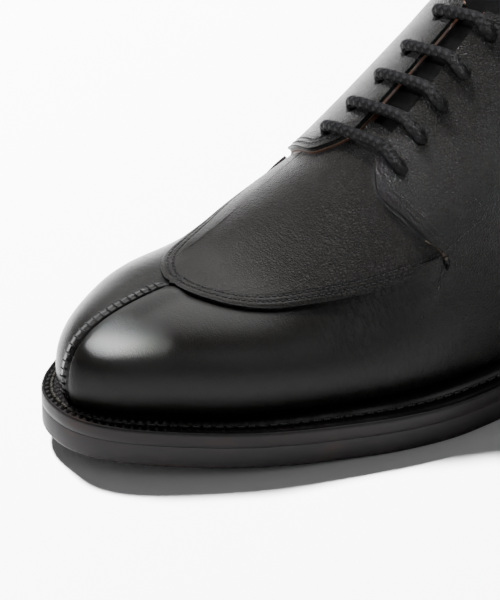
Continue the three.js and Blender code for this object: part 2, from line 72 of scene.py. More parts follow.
FACING_TOP = 0.522
ANKLE = 0.25
APRON_BACK = 105
APRON_CLEAR = 0.6
APRON_TURN = 0.36                # share down where the apron's back edge turns along the facings
LACE_ROWS = (0.645, 0.619, 0.591, 0.563, 0.529)
LACE_SKEW = 0.003
TOE = 180


def table(columns, *rows):
    """Named columns from rows of numbers."""
    return dict(zip(columns.split(), np.array(rows, float).T))


SOLE_SECTIONS = table(
    "station centre half outer inner",
    (0.00, 0.000, 0.325, 0.36, 0.36),
    (0.08, 0.000, 0.326, 0.36, 0.36),
    (0.20, 0.004, 0.322, 0.40, 0.36),
    (0.33, 0.024, 0.318, 0.50, 0.42),
    (0.45, 0.034, 0.386, 0.66, 0.52),
    (0.55, 0.024, 0.480, 0.86, 0.72),
    (0.65, 0.008, 0.499, 1.00, 0.95),
    (0.72, -0.016, 0.479, 0.98, 1.00),
    (0.80, -0.047, 0.424, 0.92, 1.00),
    (0.88, -0.070, 0.362, 0.82, 0.76),
    (0.94, -0.069, 0.293, 0.76, 0.38),
    (1.00, -0.085, 0.257, 0.56, 0.54),
)
TOE_ROUND = {"start": 0.78, "power": 2.34}
HEEL_ROUND = {"start": 0.12, "power": 2.3}
TREAD = {"seat": 0.31, "back": 0.60, "front": 0.68, "spring_power": 1.9, "waist_power": 2.4}
RIDGE = table(
    "station side rise crown wall bulge",
    (0.10, 0.000, 0.830, 0.840, 0.550, 0.20),
    (0.20, 0.004, 0.890, 0.780, 0.580, 0.24),
    (0.30, 0.014, 0.960, 0.660, 0.560, 0.26),
    (0.40, 0.030, 1.080, 0.560, 0.540, 0.30),
    (0.48, 0.040, 1.030, 0.460, 0.540, 0.36),
    (0.53, 0.038, 0.923, 0.410, 0.540, 0.39),
    (0.57, 0.030, 0.826, 0.405, 0.525, 0.40),
    (0.61, 0.022, 0.720, 0.410, 0.520, 0.40),
    (0.65, 0.010, 0.612, 0.435, 0.520, 0.40),
    (0.69, -0.010, 0.521, 0.490, 0.540, 0.39),
    (0.73, -0.031, 0.438, 0.560, 0.570, 0.37),
    (0.77, -0.051, 0.365, 0.645, 0.610, 0.36),
    (0.81, -0.068, 0.318, 0.750, 0.660, 0.36),
    (0.86, -0.081, 0.304, 0.860, 0.710, 0.36),
)
RIDGE_TOE = {"start": 0.80, "reach": 0.05, "span": 0.15}
RIDGE_HEEL = {"start": 0.20, "reach": 0.06, "span": 0.18}
COLLAR = table(
    "station outer inner",
    (0.00, 1.00, 1.00),
    (0.06, 0.97, 0.97),
    (0.15, 0.87, 0.89),
    (0.25, 0.81, 0.84),
    (0.35, 1.00, 1.03),
    (0.42, 1.25, 1.27),
    (0.48, 1.50, 1.50),
    (0.53, 1.58, 1.57),
)
FACING_FRONT = table(
    "share angle",
    (0.00, 107),
    (0.06, 108.6),
    (0.14, 109.8),
    (0.27, 109.2),
    (0.42, 108.0),
    (0.535, 106.5),
    (0.60, 109.0),
    (0.70, 113.0),
    (1.00, 114.0),
)
LIFT_DOWN = (0.43, 0.70)
LIFT_ROUND = (55, 80)
APRON_EDGE = table(
    "angle down",
    (0, 0.045),
    (17, 0.042),
    (32, 0.075),
    (40, 0.138),
    (48, 0.265),
    (55, 0.378),
    (62, 0.482),
    (69, 0.550),
    (76, 0.600),
)
TONGUE = {"foot": 0.624, "top": 0.455, "foot_spread": 0.24, "top_spread": 0.33, "top_round": 0.03}


# The surface of the last
def smooth(x):
    x = np.clip(x, 0, 1)
    return x * x * (3 - 2 * x)


def ramp(limits, x):
    return smooth((x - limits[0]) / (limits[1] - limits[0]))


def mix(a, b, t):
    return a + (b - a) * t


def curve(tab, column, at, key="station"):
    x, y = tab[key], tab[column]
    last = len(x) - 1
    at = np.clip(at, x[0], x[-1])
    i = np.clip(np.searchsorted(x, at) - 1, 0, last - 1)
    row = np.arange(last + 1)
    before, after = np.maximum(row - 1, 0), np.minimum(row + 1, last)
    slope = (y[after] - y[before]) / (x[after] - x[before])
    span = x[i + 1] - x[i]
    t = (at - x[i]) / span
    start = y[i] * (2 * t**3 - 3 * t**2 + 1) + slope[i] * span * (t**3 - 2 * t**2 + t)
    end = y[i + 1] * (3 * t**2 - 2 * t**3) + slope[i + 1] * span * (t**3 - t**2)
    return start + end


def station_at(angle):
    return (1 - np.cos(np.radians(angle))) / 2


def angle_at(station):
    return np.degrees(np.arccos(1 - 2 * np.asarray(station, float)))


def is_outer(angle):
    return np.sin(np.radians(angle)) >= 0


def from_heel(angle):
    return np.where(is_outer(angle), angle % 360, 360 - angle % 360)


def by_side(tab, angle):
    station = station_at(angle)
    outer, inner = curve(tab, "outer", station), curve(tab, "inner", station)
    return np.where(is_outer(angle), outer, inner)


def outline(angle):
    station = station_at(angle)
    toe = np.clip((station - TOE_ROUND["start"]) / (1 - TOE_ROUND["start"]), 0, 1)
    heel = np.clip((HEEL_ROUND["start"] - station) / HEEL_ROUND["start"], 0, 1)
    toe_round = (1 - toe ** TOE_ROUND["power"]).clip(0) ** (1 / TOE_ROUND["power"])
    heel_round = (1 - heel ** HEEL_ROUND["power"]).clip(0) ** (1 / HEEL_ROUND["power"])
    half = curve(SOLE_SECTIONS, "half", station) * toe_round * heel_round
    centre = curve(SOLE_SECTIONS, "centre", station)
    x = (centre + np.where(is_outer(angle), half, -half)) * BALL_WIDTH
    return np.stack([x, (0.5 - station) * LENGTH], -1)


def inset_outline(angle, distance):
    step = 0.05
    along = outline(angle + step) - outline(angle - step)
    along /= np.linalg.norm(along, axis=-1, keepdims=True)
    point = outline(angle)
    return np.stack([point[..., 0] + along[..., 1] * distance, point[..., 1] - along[..., 0] * distance], -1)


def at_height(flat, height):
    """Points from places on the floor and their heights."""
    return np.concatenate([flat, height[..., None]], -1)


def underside(y):
    station = 0.5 - y / LENGTH
    spring = np.clip((station - TREAD["front"]) / (1 - TREAD["front"]), 0, 1)
    waist = np.clip((TREAD["back"] - station) / (TREAD["back"] - TREAD["seat"]), 0, 1)
    power = TREAD["waist_power"]
    rise = waist**power * (1 + power * (1 - waist))
    return TOE_SPRING * spring ** TREAD["spring_power"] + HEEL_HEIGHT * rise


def ledge(angle):
    return SOLE_LEDGE * by_side(SOLE_SECTIONS, angle)


def ridge_station(station):
    toe = 1 - (1 - np.clip((station - RIDGE_TOE["start"]) / RIDGE_TOE["span"], 0, 1)) ** 3
    heel = 1 - (1 - np.clip((RIDGE_HEEL["start"] - station) / RIDGE_HEEL["span"], 0, 1)) ** 3
    middle = np.clip(station, RIDGE_HEEL["start"], RIDGE_TOE["start"])
    return middle + RIDGE_TOE["reach"] * toe - RIDGE_HEEL["reach"] * heel


def ridge_point(station):
    y = (0.5 - station) * LENGTH
    z = underside(y) + SOLE_THICKNESS + curve(RIDGE, "rise", station) * INSTEP_HEIGHT
    return np.stack([curve(RIDGE, "side", station) * BALL_WIDTH, y, z], -1)


def section(angle):
    foot = inset_outline(angle, ledge(angle))
    bottom = at_height(foot, underside(foot[..., 1]) + SOLE_THICKNESS + FOOT_GAP)
    station = ridge_station(station_at(angle))
    top = ridge_point(station)
    out = bottom - top
    out[..., 2] = 0
    reach = np.linalg.norm(out, axis=-1)
    out /= reach[..., None]
    step = 0.001
    ahead, behind = ridge_point(station + step), ridge_point(station - step)
    slope = (ahead[..., 2] - behind[..., 2]) / (ahead[..., 1] - behind[..., 1]) * out[..., 1]
    crown = curve(RIDGE, "crown", station) * reach
    shoulder = top + out * crown[..., None]
    shoulder[..., 2] += slope * crown
    hip = bottom + out * (curve(RIDGE, "bulge", station) * SOLE_LEDGE)[..., None]
    hip[..., 2] += curve(RIDGE, "wall", station) * (top[..., 2] - bottom[..., 2])
    return top, shoulder, hip, bottom


def along_section(line, down):
    top, shoulder, hip, bottom = line
    t = np.asarray(down, float)[..., None]
    return top * (1 - t) ** 3 + shoulder * 3 * (1 - t) ** 2 * t + hip * 3 * (1 - t) * t**2 + bottom * t**3


def skin(angle, down):
    """Points of the last's surface: an angle round the foot from the heel, and a share down from the ridge."""
    angle, down = np.broadcast_arrays(np.asarray(angle, float), np.asarray(down, float))
    return along_section(section(angle), down)


def unit(v):
    return v / np.maximum(np.linalg.norm(v, axis=-1, keepdims=True), 1e-9)


def skin_normal(angle, down):
    step = 0.008
    down = np.maximum(down, 2 * step)
    around = skin(angle + 10 * step, down) - skin(angle - 10 * step, down)
    fall = skin(angle, np.minimum(1, down + step)) - skin(angle, down - step)
    return unit(np.cross(around, fall))


def even_normal(angle, down):
    """Normals that meet without a step where the two sides meet at the ridge."""
    own, other = skin_normal(angle, down), skin_normal(360 - angle, down)
    return unit(own + other * (1 - smooth(np.asarray(down) / 0.06))[..., None])


def over_skin(angle, down, height):
    """Points at a height over the skin, along its normals."""
    height = np.asarray(height, float)[..., None]
    return skin(angle, down) + skin_normal(angle, down) * height


def share_where(angle, passed):
    """The share down each section where a measure of its points first passes a limit."""
    line = section(angle)
    low, high = np.zeros(np.shape(angle)), np.ones(np.shape(angle))
    for _ in range(30):
        middle = (low + high) / 2
        hit = passed(along_section(line, middle))
        low, high = np.where(hit, low, middle), np.where(hit, middle, high)
    return high


def share_aside(angle, distance):
    axis = skin(angle, 0.0)[..., 0]
    return share_where(angle, lambda point: np.abs(point[..., 0] - axis) > distance)


def throat_share(station):
    return np.clip((station - FACING_TOP) / (LACE_ROWS[0] - FACING_TOP), 0, 1)


def facing_gap(station):
    return mix(FACING_GAP_TOP, FACING_GAP_FOOT, throat_share(station))


def quarter_top(angle):
    station = station_at(angle)
    foot = section(angle)[3][..., 2]
    height = foot + by_side(COLLAR, angle) * BACK_HEIGHT
    edge = share_where(angle, lambda point: point[..., 2] < height)
    facing = share_aside(angle, facing_gap(station))
    collar = np.where(station < ANKLE, edge, np.maximum(edge, share_aside(angle, FACING_GAP_TOP)))
    return np.where(station >= FACING_TOP, facing, collar)


def facing_lift(angle, down):
    return LIFT * (1 - ramp(LIFT_DOWN, down)) * ramp(LIFT_ROUND, from_heel(angle))


FLAP_TOP = float(quarter_top(np.array(FACING_FRONT["angle"][0])))


def flap_front(down):
    """Degrees from the heel to the front edge of the facings, at a share down."""
    return curve(FACING_FRONT, "angle", (down - FLAP_TOP) / (1 - FLAP_TOP), "share")


def apron_edge(away):
    return curve(APRON_EDGE, "down", np.abs(away), "angle")


def locate(points, angle, down, rounds=9):
    """The places on the skin nearest to some points, from a first guess."""
    points = np.asarray(points, float)
    for _ in range(rounds):
        at = skin(angle, down)
        round_step = (skin(angle + 0.1, down) - at) / 0.1
        down_step = (skin(angle, down + 0.001) - at) / 0.001
        miss = points - at
        aa = (round_step * round_step).sum(-1)
        ab = (round_step * down_step).sum(-1)
        bb = (down_step * down_step).sum(-1)
        a, b = (round_step * miss).sum(-1), (down_step * miss).sum(-1)
        det = np.maximum(aa * bb - ab * ab, 1e-6)
        angle = angle + np.clip((a * bb - b * ab) / det, -6, 6)
        down = np.clip(down + np.clip((b * aa - a * ab) / det, -0.03, 0.03), 0.003, 1)
    return angle, down


# Meshes
sides = outline(np.linspace(0, 360, 1441))[:, 0]
SHIFT = np.array([-(sides.min() + sides.max()) / 2, 0, 0])


def spread(*stops):
    """Even steps between stops: a first value, then (value, steps) pairs."""
    values = [np.array([stops[0]], float)]
    for value, steps in stops[1:]:
        values.append(np.linspace(values[-1][-1], value, steps + 1)[1:])
    return np.concatenate(values)


def mirrored(half):
    return np.concatenate([-half[:0:-1], half])


def run_along(line):
    """Distance from a polyline's start to each of its points."""
    return np.concatenate([[0], np.cumsum(np.linalg.norm(np.diff(line, axis=0), axis=1))])


def grid_uv(across, down):
    return np.stack(np.broadcast_arrays(across[:, None], down), -1)


def grid_faces(rows, columns, first=0, wrap=False, flip=False):
    i, j = np.meshgrid(np.arange(rows if wrap else rows - 1), np.arange(columns - 1), indexing="ij")
    a = i * columns + j
    b = (i + 1) % rows * columns + j
    quads = np.stack([a, b, b + 1, a + 1], -1).reshape(-1, 4) + first
    return (quads[:, ::-1] if flip else quads).tolist()


def link(piece):
    bpy.context.scene.collection.objects.link(piece)
    return piece


def make(name, points, faces, finish, uv=None, values=None, merge=None):
    """A mesh piece from points in millimetres. uv is one pair a point, values one number a point."""
    mesh = bpy.data.meshes.new(name)
    places = (np.asarray(points, float).reshape(-1, 3) + SHIFT) / 1000
    mesh.from_pydata(places.tolist(), [], faces)
    if uv is not None:
        layer = mesh.uv_layers.new(name="UVMap")
        corner = np.empty(len(mesh.loops), np.int32)
        mesh.loops.foreach_get("vertex_index", corner)
        layer.data.foreach_set("uv", np.asarray(uv, float).reshape(-1, 2)[corner].ravel())
    for key, value in (values or {}).items():
        layer = mesh.attributes.new(key, "FLOAT", "POINT")
        layer.data.foreach_set("value", np.asarray(value, float).ravel())
    if merge:
        work = bmesh.new()
        work.from_mesh(mesh)
        bmesh.ops.remove_doubles(work, verts=work.verts, dist=merge)
        work.to_mesh(mesh)
        work.free()
    mesh.validate()
    mesh.polygons.foreach_set("use_smooth", [True] * len(mesh.polygons))
    piece = link(bpy.data.objects.new(name, mesh))
    mesh.materials.append(finish)
    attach(piece, "root")
    return piece


def thicken(piece, thickness, edge=0.35, segments=3):
    """Gives a sheet its thickness on the inside, with a rounded rim."""
    solid = piece.modifiers.new("thickness", "SOLIDIFY")
    solid.thickness = thickness / 1000
    solid.offset = -1
    bevel = piece.modifiers.new("edge", "BEVEL")
    bevel.width = edge / 1000
    bevel.segments = segments
    bevel.limit_method = "ANGLE"
    bevel.angle_limit = math.radians(50)


def distance_to(points, line):
    """Distance from each point to the nearest of a line's points."""
    flat = np.asarray(points).reshape(-1, 3)
    nearest = np.empty(len(flat))
    batch = 4000
    for start in range(0, len(flat), batch):
        gaps = flat[start : start + batch, None] - line[None]
        nearest[start : start + batch] = np.sqrt((gaps**2).sum(-1).min(1))
    return nearest.reshape(np.shape(points)[:-1])


def resample(line, pitch, *others):
    """Points a pitch apart along a polyline, with other columns sampled at the same places."""
    run = run_along(line)
    at = np.linspace(0, run[-1], max(2, int(round(run[-1] / pitch)) + 1))
    pick = lambda column: np.interp(at, run, column)
    picked = np.stack([pick(line[:, k]) for k in range(3)], -1)
    return (picked, *[pick(np.asarray(other)) for other in others])


# Materials
class Net:
    """A material, with short calls for building its nodes. Colours are three numbers."""

    def __init__(self, name, colour, roughness, **sockets):
        self.material = bpy.data.materials.new(name)
        self.material.use_nodes = True
        self.tree = self.material.node_tree
        self.shader = self.tree.nodes["Principled BSDF"]
        self.finish(Base_Color=(*colour, 1), Roughness=roughness, **sockets)

    def feed(self, socket, value):
        if isinstance(value, bpy.types.NodeSocket):
            self.tree.links.new(value, socket)
        else:
            socket.default_value = value

    def node(self, kind, settings=None, **inputs):
        node = self.tree.nodes.new(kind)
        for key, value in (settings or {}).items():
            setattr(node, key, value)
        for key, value in inputs.items():
            self.feed(node.inputs[key.replace("_", " ")], value)
        return node

    def maths(self, operation, *values, kind="ShaderNodeMath"):
        node = self.node(kind, {"operation": operation})
        for socket, value in zip(node.inputs, values):
            self.feed(socket, value)
        return node.outputs[0]

    def times(self, a, b):
        return self.maths("MULTIPLY", a, b)

    def plus(self, a, b):
        return self.maths("ADD", a, b)

    def vector(self, operation, *values):
        return self.maths(operation, *values, kind="ShaderNodeVectorMath")

    def span(self, value, low, high, to_low=0.0, to_high=1.0, kind="SMOOTHSTEP"):
        node = self.node("ShaderNodeMapRange", {"interpolation_type": kind}, Value=value, From_Min=low,
                         From_Max=high, To_Min=to_low, To_Max=to_high)
        return node.outputs[0]

    def noise(self, coords, scale, detail=2.0, rough=0.5, distortion=0.0, output="Fac"):
        node = self.node("ShaderNodeTexNoise", Vector=coords, Scale=scale, Detail=detail,
                         Roughness=rough, Distortion=distortion)
        return node.outputs[output]

    def cells(self, coords, scale, feature="F1"):
        node = self.node("ShaderNodeTexVoronoi", {"feature": feature}, Vector=coords, Scale=scale)
        return node.outputs["Distance"]

    def scaled(self, coords, x, y, z):
        return self.node("ShaderNodeMapping", Vector=coords, Scale=(x, y, z)).outputs[0]

    def blend(self, factor, low, high):
        node = self.node("ShaderNodeMix", {"data_type": "RGBA"})
        for socket, value in zip((node.inputs[0], node.inputs[6], node.inputs[7]), (factor, low, high)):
            self.feed(socket, (*value, 1) if isinstance(value, tuple) else value)
        return node.outputs[2]

    def bump(self, height, distance, normal=None):
        below = {"Normal": normal} if normal else {}
        return self.node("ShaderNodeBump", Height=height, Distance=distance, **below).outputs[0]

    def coords(self, kind="Object"):
        return self.node("ShaderNodeTexCoord").outputs[kind]

    def split(self, coords):
        return self.node("ShaderNodeSeparateXYZ", Vector=coords).outputs

    def attribute(self, name):
        return self.node("ShaderNodeAttribute", {"attribute_name": name}).outputs["Fac"]

    def finish(self, **sockets):
        for key, value in sockets.items():
            self.feed(self.shader.inputs[key.replace("_", " ")], value)
        return self.material


def tint(colour, *factors):
    return tuple(float(c * factor) for c, factor in zip(colour, factors))


def leather(name, colour, dull, polished, pebble_height, specular=0.045):
    """Black calf. The grain value of a point goes from 0, polished smooth, to 1, pebbled."""
    net = Net(name, colour, dull, Specular_IOR_Level=specular)
    place = net.coords()
    amount = net.attribute("grain")
    warp = net.vector("SUBTRACT", net.noise(place, 420, 3, output="Color"), (0.5, 0.5, 0.5))
    bent = net.vector("ADD", place, net.vector("MULTIPLY", warp, (0.0011, 0.0011, 0.0011)))
    edges = net.cells(bent, PEBBLES, "DISTANCE_TO_EDGE")
    pebbles = net.maths("POWER", net.span(edges, 0.0, 0.42, kind="LINEAR"), 0.7)
    small = net.span(net.cells(bent, 2300, "DISTANCE_TO_EDGE"), 0.0, 0.25)
    hide = net.plus(net.times(pebbles, 0.8), net.times(small, 0.2))
    patches = net.span(net.noise(place, 60), 0.3, 0.7, 0.6, 1.0)
    height = net.times(net.times(hide, amount), patches)
    wrinkle = net.noise(net.scaled(place, 1, 2.6, 1), 300, 4, 0.65, 0.6)
    along = net.split(place)[1]
    flexed = net.times(net.span(along, -0.095, -0.07), net.span(along, -0.02, -0.045))
    folds = net.span(net.noise(net.scaled(place, 0.5, 2.6, 0.5), 420, 3, 0.6, 0.9), 0.34, 0.6)
    normal = net.bump(net.noise(place, 2700, 2, 0.6), 0.00009)
    normal = net.bump(wrinkle, 0.00006, normal)
    normal = net.bump(net.times(folds, flexed), 0.00009, normal)
    normal = net.bump(height, pebble_height / 1000, normal)
    # Painted light: the pebbles' raised tops are made lighter and the grooves between them darker in the base
    # colour, standing in for glints and for the shade in the grooves, more so where the grain is strong.
    pebble_painted_light = net.times(net.span(hide, 0.35, 1.0), net.plus(amount, 0.15))
    base = net.blend(pebble_painted_light, tint(colour, 0.45, 0.45, 0.45), tint(colour, 1.9, 1.9, 1.9))
    # Darkened by the attribute's value: the real ink on the apron's cut edge, and painted shade on the dark
    # sheet under the outer facing.
    base = net.blend(net.attribute("ink_and_shade"), base, (0.0009, 0.0009, 0.0009))
    uneven = net.times(net.maths("SUBTRACT", net.noise(place, 160, 3), 0.5), 0.12)
    gloss = net.plus(net.span(amount, 0.0, 0.9, polished, dull), uneven)
    flecks = net.times(net.span(net.cells(bent, PEBBLES), 0.34, 0.12), amount)
    gloss = net.maths("SUBTRACT", gloss, net.times(flecks, 0.14))
    return net.finish(Base_Color=base, Roughness=gloss, Normal=normal)


def plain_leather(name, colour, roughness):
    net = Net(name, colour, roughness)
    place = net.coords()
    pores = net.span(net.cells(place, 2600, "DISTANCE_TO_EDGE"), 0.0, 0.3)
    lift = net.plus(net.times(pores, 0.25), net.noise(place, 240, 4, 0.6))
    dark = tint(colour, 0.72, 0.68, 0.62)
    base = net.blend(net.span(net.noise(place, 60, 5, 0.65), 0.3, 0.72), dark, colour)
    gloss = net.span(net.noise(place, 130, 3), 0.2, 0.8, roughness - 0.08, roughness + 0.1)
    return net.finish(Base_Color=base, Roughness=gloss, Normal=net.bump(lift, 0.00005))


def edge_ink(name, colour, roughness, streak=1.0):
    """Inked and burnished edge: fine lines along the edge, which runs along u of the UV map."""
    net = Net(name, colour, roughness, Specular_IOR_Level=0.04)
    lines = net.noise(net.scaled(net.coords("UV"), 9, 900, 1), 1.0, 5, 0.6)
    broad = net.noise(net.coords(), 70, 4, 0.6)
    base = net.blend(net.span(net.times(lines, broad), 0.26, 0.46), colour, tint(colour, 1.9, 1.35, 1.15))
    gloss = net.span(lines, 0.25, 0.75, roughness - 0.09, roughness + 0.12)
    specks = net.span(net.cells(net.coords(), 620), 0.0, 0.12, 0.0, 0.6)
    height = net.plus(net.times(lines, streak), specks)
    return net.finish(Base_Color=base, Roughness=gloss, Normal=net.bump(height, 0.00004))


def painted_material():
    """Cut edge of the facings, by the depth that v of the UV map gives."""
    black = (0.002, 0.002, 0.002)
    net = Net("painted_edge", black, 0.45, Specular_IOR_Level=0.035)
    wander = net.times(net.maths("SUBTRACT", net.noise(net.coords(), 400, 3), 0.5), 0.00012)
    depth = net.plus(net.split(net.coords("UV"))[1], wander)
    bare = net.span(depth, 0.00148, 0.00155)
    under = net.span(depth, 0.00176, 0.00184)
    fibre = net.noise(net.coords(), 1800, 4, 0.7)
    pale = net.blend(net.span(fibre, 0.3, 0.7), (0.02, 0.016, 0.012), (0.08, 0.066, 0.052))
    russet = net.blend(net.span(fibre, 0.3, 0.7), (0.014, 0.005, 0.0025), (0.034, 0.012, 0.006))
    base = net.blend(under, net.blend(bare, black, pale), russet)
    gloss = net.span(fibre, 0.3, 0.7, 0.38, 0.6)
    return net.finish(Base_Color=base, Roughness=gloss, Normal=net.bump(fibre, 0.00006))


def rubber_material():
    colour = (0.004, 0.004, 0.0043)
    net = Net("rubber", colour, 0.62, Specular_IOR_Level=0.05)
    place = net.coords()
    base = net.blend(net.span(net.noise(place, 90, 5, 0.7), 0.5, 0.75), colour, (0.01, 0.0095, 0.009))
    height = net.plus(net.noise(place, 2400), net.noise(place, 380, 3))
    gloss = net.span(net.noise(place, 200, 3), 0.3, 0.7, 0.5, 0.72)
    return net.finish(Base_Color=base, Roughness=gloss, Normal=net.bump(height, 0.00005))


def thread_material(name, colour, roughness):
    """Waxed twisted thread, with its twist along u of the UV map."""
    net = Net(name, colour, roughness, Specular_IOR_Level=0.06)
    along, around = net.split(net.coords("UV"))[:2]
    twist = net.maths("SINE", net.plus(net.times(along, 7000), net.times(around, 12.566)))
    # Painted shade: the twist's grooves are darker in the base colour, following the same twist as the bump.
    base = net.blend(net.span(twist, -1.0, 1.0), tint(colour, 0.5, 0.5, 0.5), colour)
    gloss = net.span(net.noise(net.coords(), 900), 0.3, 0.7, roughness - 0.1, roughness + 0.1)
    return net.finish(Base_Color=base, Roughness=gloss, Normal=net.bump(twist, 0.00005))


def braid_material():
    """Round waxed braid: strands cross each other at a slant round the lace."""
    net = Net("braid", (0.006, 0.006, 0.007), 0.6, Specular_IOR_Level=0.03)
    along, around = net.split(net.coords("UV"))[:2]
    along = net.times(along, 2 * math.pi / 0.0026)
    around = net.times(around, 2 * math.pi * 4)
    right = net.maths("SINE", net.plus(along, around))
    left = net.maths("SINE", net.maths("SUBTRACT", along, around))
    weave = net.span(net.times(net.plus(right, 1.0), net.plus(left, 1.0)), 0.0, 3.2)
    fuzz = net.noise(net.coords(), 3800, 3, 0.7)
    # Painted shade and highlight: the base colour is darker in the gaps between the strands and lighter on
    # their crowns, following the weave's bump.
    base = net.blend(weave, (0.0004, 0.0004, 0.0005), (0.0024, 0.0023, 0.0027))
    height = net.plus(weave, net.times(fuzz, 0.25))
    gloss = net.span(fuzz, 0.3, 0.7, 0.5, 0.72)
    return net.finish(Base_Color=base, Roughness=gloss, Normal=net.bump(height, 0.00028))


PEBBLES = 1120                   # pebbles of the grain a metre
calf = leather("calf", (0.0040, 0.0038, 0.0035), 0.33, 0.30, 0.55)
apron_calf = leather("apron_calf", (0.0034, 0.0031, 0.0028), 0.38, 0.38, 0.42)
# Painted shade: the tongue's leather is made much darker than the calf, standing for the shadow in the throat
# between the facings.
tongue_calf_painted_shade = leather("tongue_calf_painted_shade", (0.0008, 0.0008, 0.0008), 0.6, 0.55, 0.2, 0.012)
lining = plain_leather("lining", (0.14, 0.05, 0.022), 0.55)
insole_leather = plain_leather("insole_leather", (0.40, 0.21, 0.105), 0.5)
sole_ink = edge_ink("sole_ink", (0.0058, 0.0051, 0.0053), 0.40)
# The welt's ink is darker than the sole edge's: partly the ink's own black, partly painted shade for the
# shadow the upper casts over the welt.
welt_ink_and_shade = edge_ink("welt_ink_and_shade", (0.0024, 0.0022, 0.0022), 0.36)
rubber_edge = edge_ink("rubber_edge", (0.0085, 0.0079, 0.0083), 0.48, 0.6)
painted_edge = painted_material()
rubber = rubber_material()
thread = thread_material("thread", (0.003, 0.003, 0.0032), 0.42)
# The welt thread is lighter than the upper's thread: partly its own colour, partly a painted highlight for the
# glints on the welt's stitches.
welt_thread = thread_material("welt_thread", (0.010, 0.0092, 0.0080), 0.34)
braid = braid_material()


# Rows of stitches
def capsule(length, radius):
    """Points and faces of a rounded bar along x, with its UV map."""
    sides, ends = 8, 3
    rings = [(-length / 2 + radius * (1 - math.cos(t)), radius * math.sin(t))
             for t in np.linspace(0, math.pi / 2, ends + 1)]
    rings += [(-x, r) for x, r in reversed(rings)]
    angles = np.linspace(0, 2 * math.pi, sides, endpoint=False)
    points = np.array([(x, r * math.cos(a), r * math.sin(a)) for x, r in rings for a in angles])
    uv = np.array([(x / 1000, a / (2 * math.pi)) for x, r in rings for a in angles])
    faces = []
    for start in range(0, (len(rings) - 1) * sides, sides):
        for i in range(sides):
            j = (i + 1) % sides
            faces.append((start + i, start + j, start + sides + j, start + sides + i))
    return points, faces, uv


def bars(name, centres, along, normals, length, radius, finish, flat=0.75):
    """One piece of many stitches, each a flattened capsule lying along a direction."""
    points, faces, uv = capsule(length, radius)
    along = unit(along - (along * normals).sum(-1, keepdims=True) * normals)
    across = np.cross(normals, along)
    places = (centres[:, None, :] + points[None, :, 0, None] * along[:, None, :]
              + points[None, :, 1, None] * across[:, None, :]
              + points[None, :, 2, None] * flat * normals[:, None, :])
    count = len(points)
    every = [tuple(k + n * count for k in face) for n in range(len(centres)) for face in faces]
    shifts = np.stack([np.arange(len(centres)) * 0.0013, np.zeros(len(centres))], -1)
    make(name, places, every, finish, uv=uv[None] + shifts[:, None, :], merge=1e-7)


def line_beside(angle, down, distance, side):
    """A line on the skin a distance beside a given line. side is 1 or -1 for which side."""
    edge = skin(angle, down)
    normal = skin_normal(angle, down)
    along = unit(np.gradient(edge, axis=0))
    aside = np.cross(normal, along) * side
    return locate(edge + aside * distance, angle, down)


def stitch_row(name, angle, down, height, pitch=1.9, length=1.5):
    """Stitches along a line on the skin, at a height over it."""
    radius, sink = 0.27, 0.1
    surface = over_skin(angle, down, height)
    centres, a, d = resample(surface, pitch, np.unwrap(angle, period=360), down)
    normals = skin_normal(a, d)
    middle = centres[:-1] / 2 + centres[1:] / 2
    normals = unit(normals[:-1] + normals[1:])
    bars(name, middle - normals * sink, np.diff(centres, axis=0), normals, length, radius, thread)


# Lines that the panels and their stitching share
APRON_FURROWS = (2.1, 3.8)
FACING_FURROWS = (2.0, 3.7)
COLLAR_FURROW = 2.2


def furrow(distance, at, depth, spread=0.42):
    return -depth * np.exp(-(((distance - at) / spread) ** 2))


apron_away = np.linspace(-74.5, 74.5, 900)
apron_line = (TOE + apron_away, apron_edge(apron_away))
apron_rim = skin(*apron_line)

FLAP_TIP = 0.60                  # share down where the facings run into the side panels
flap_down = np.linspace(FLAP_TOP, FLAP_TIP, 260)
flap_lines = [(side * flap_front(flap_down) % 360, flap_down) for side in (1, -1)]
collar_angle = np.linspace(-float(angle_at(FACING_TOP)), float(angle_at(FACING_TOP)), 700) % 360
collar_line = (collar_angle, quarter_top(collar_angle))

corners = [(106.6, 0.537), (103.5, 0.537), (100.8, 0.544), (101.2, 0.513), (101.8, 0.469)]
legs = [np.linspace(start, end, 30) for start, end in zip(corners, corners[1:])]
bar_angle, bar_down = np.concatenate(legs).T
bar_lines = [(bar_angle, bar_down), (360 - bar_angle, bar_down)]


def eyelet_place(row, side):
    station = row - side * LACE_SKEW
    angle = np.array(float(angle_at(station)) if side > 0 else 360 - float(angle_at(station)))
    setback = mix(EYELET_SETBACK_TOP, EYELET_SETBACK_FOOT, throat_share(station) ** 2)
    down = share_aside(angle, facing_gap(station) + setback)
    return angle, down * (1.0 if side > 0 else 1.07)


eyelets = [eyelet_place(row, side) for row in LACE_ROWS for side in (1, -1)]
eyelet_points = np.array([over_skin(*place, facing_lift(*place)) for place in eyelets])
EYELET_PIT = {"radius": 2.2, "depth": 0.7, "edge": 0.4}


# Upper: quarters, side panels and toe in one sheet, open over the apron
SEAM_LIP = 1.05
STITCH_PITCH = 2.3


def seam_lean(down):
    """How far the seam leans from the middle of the toe to the outer side."""
    return 1.5 * ramp((0.35, 0.9), down)


def seam_height(x, run):
    """Height of the split toe seam: a plump lip on the outer side and a ribbed one on the inner side.

    x is the distance from the seam, and run the distance along it.
    """
    outer = SEAM_LIP * smooth((x + 0.15) / 0.9) * smooth((7.5 - x) / 6.5)
    ribs = 0.82 + 0.18 * np.cos(2 * math.pi * run / STITCH_PITCH)
    inner = 0.85 * SEAM_LIP * ribs * smooth((-x - 0.1) / 0.6) * smooth((4.2 + x) / 2.6)
    return np.where(x > 0, outer, inner)


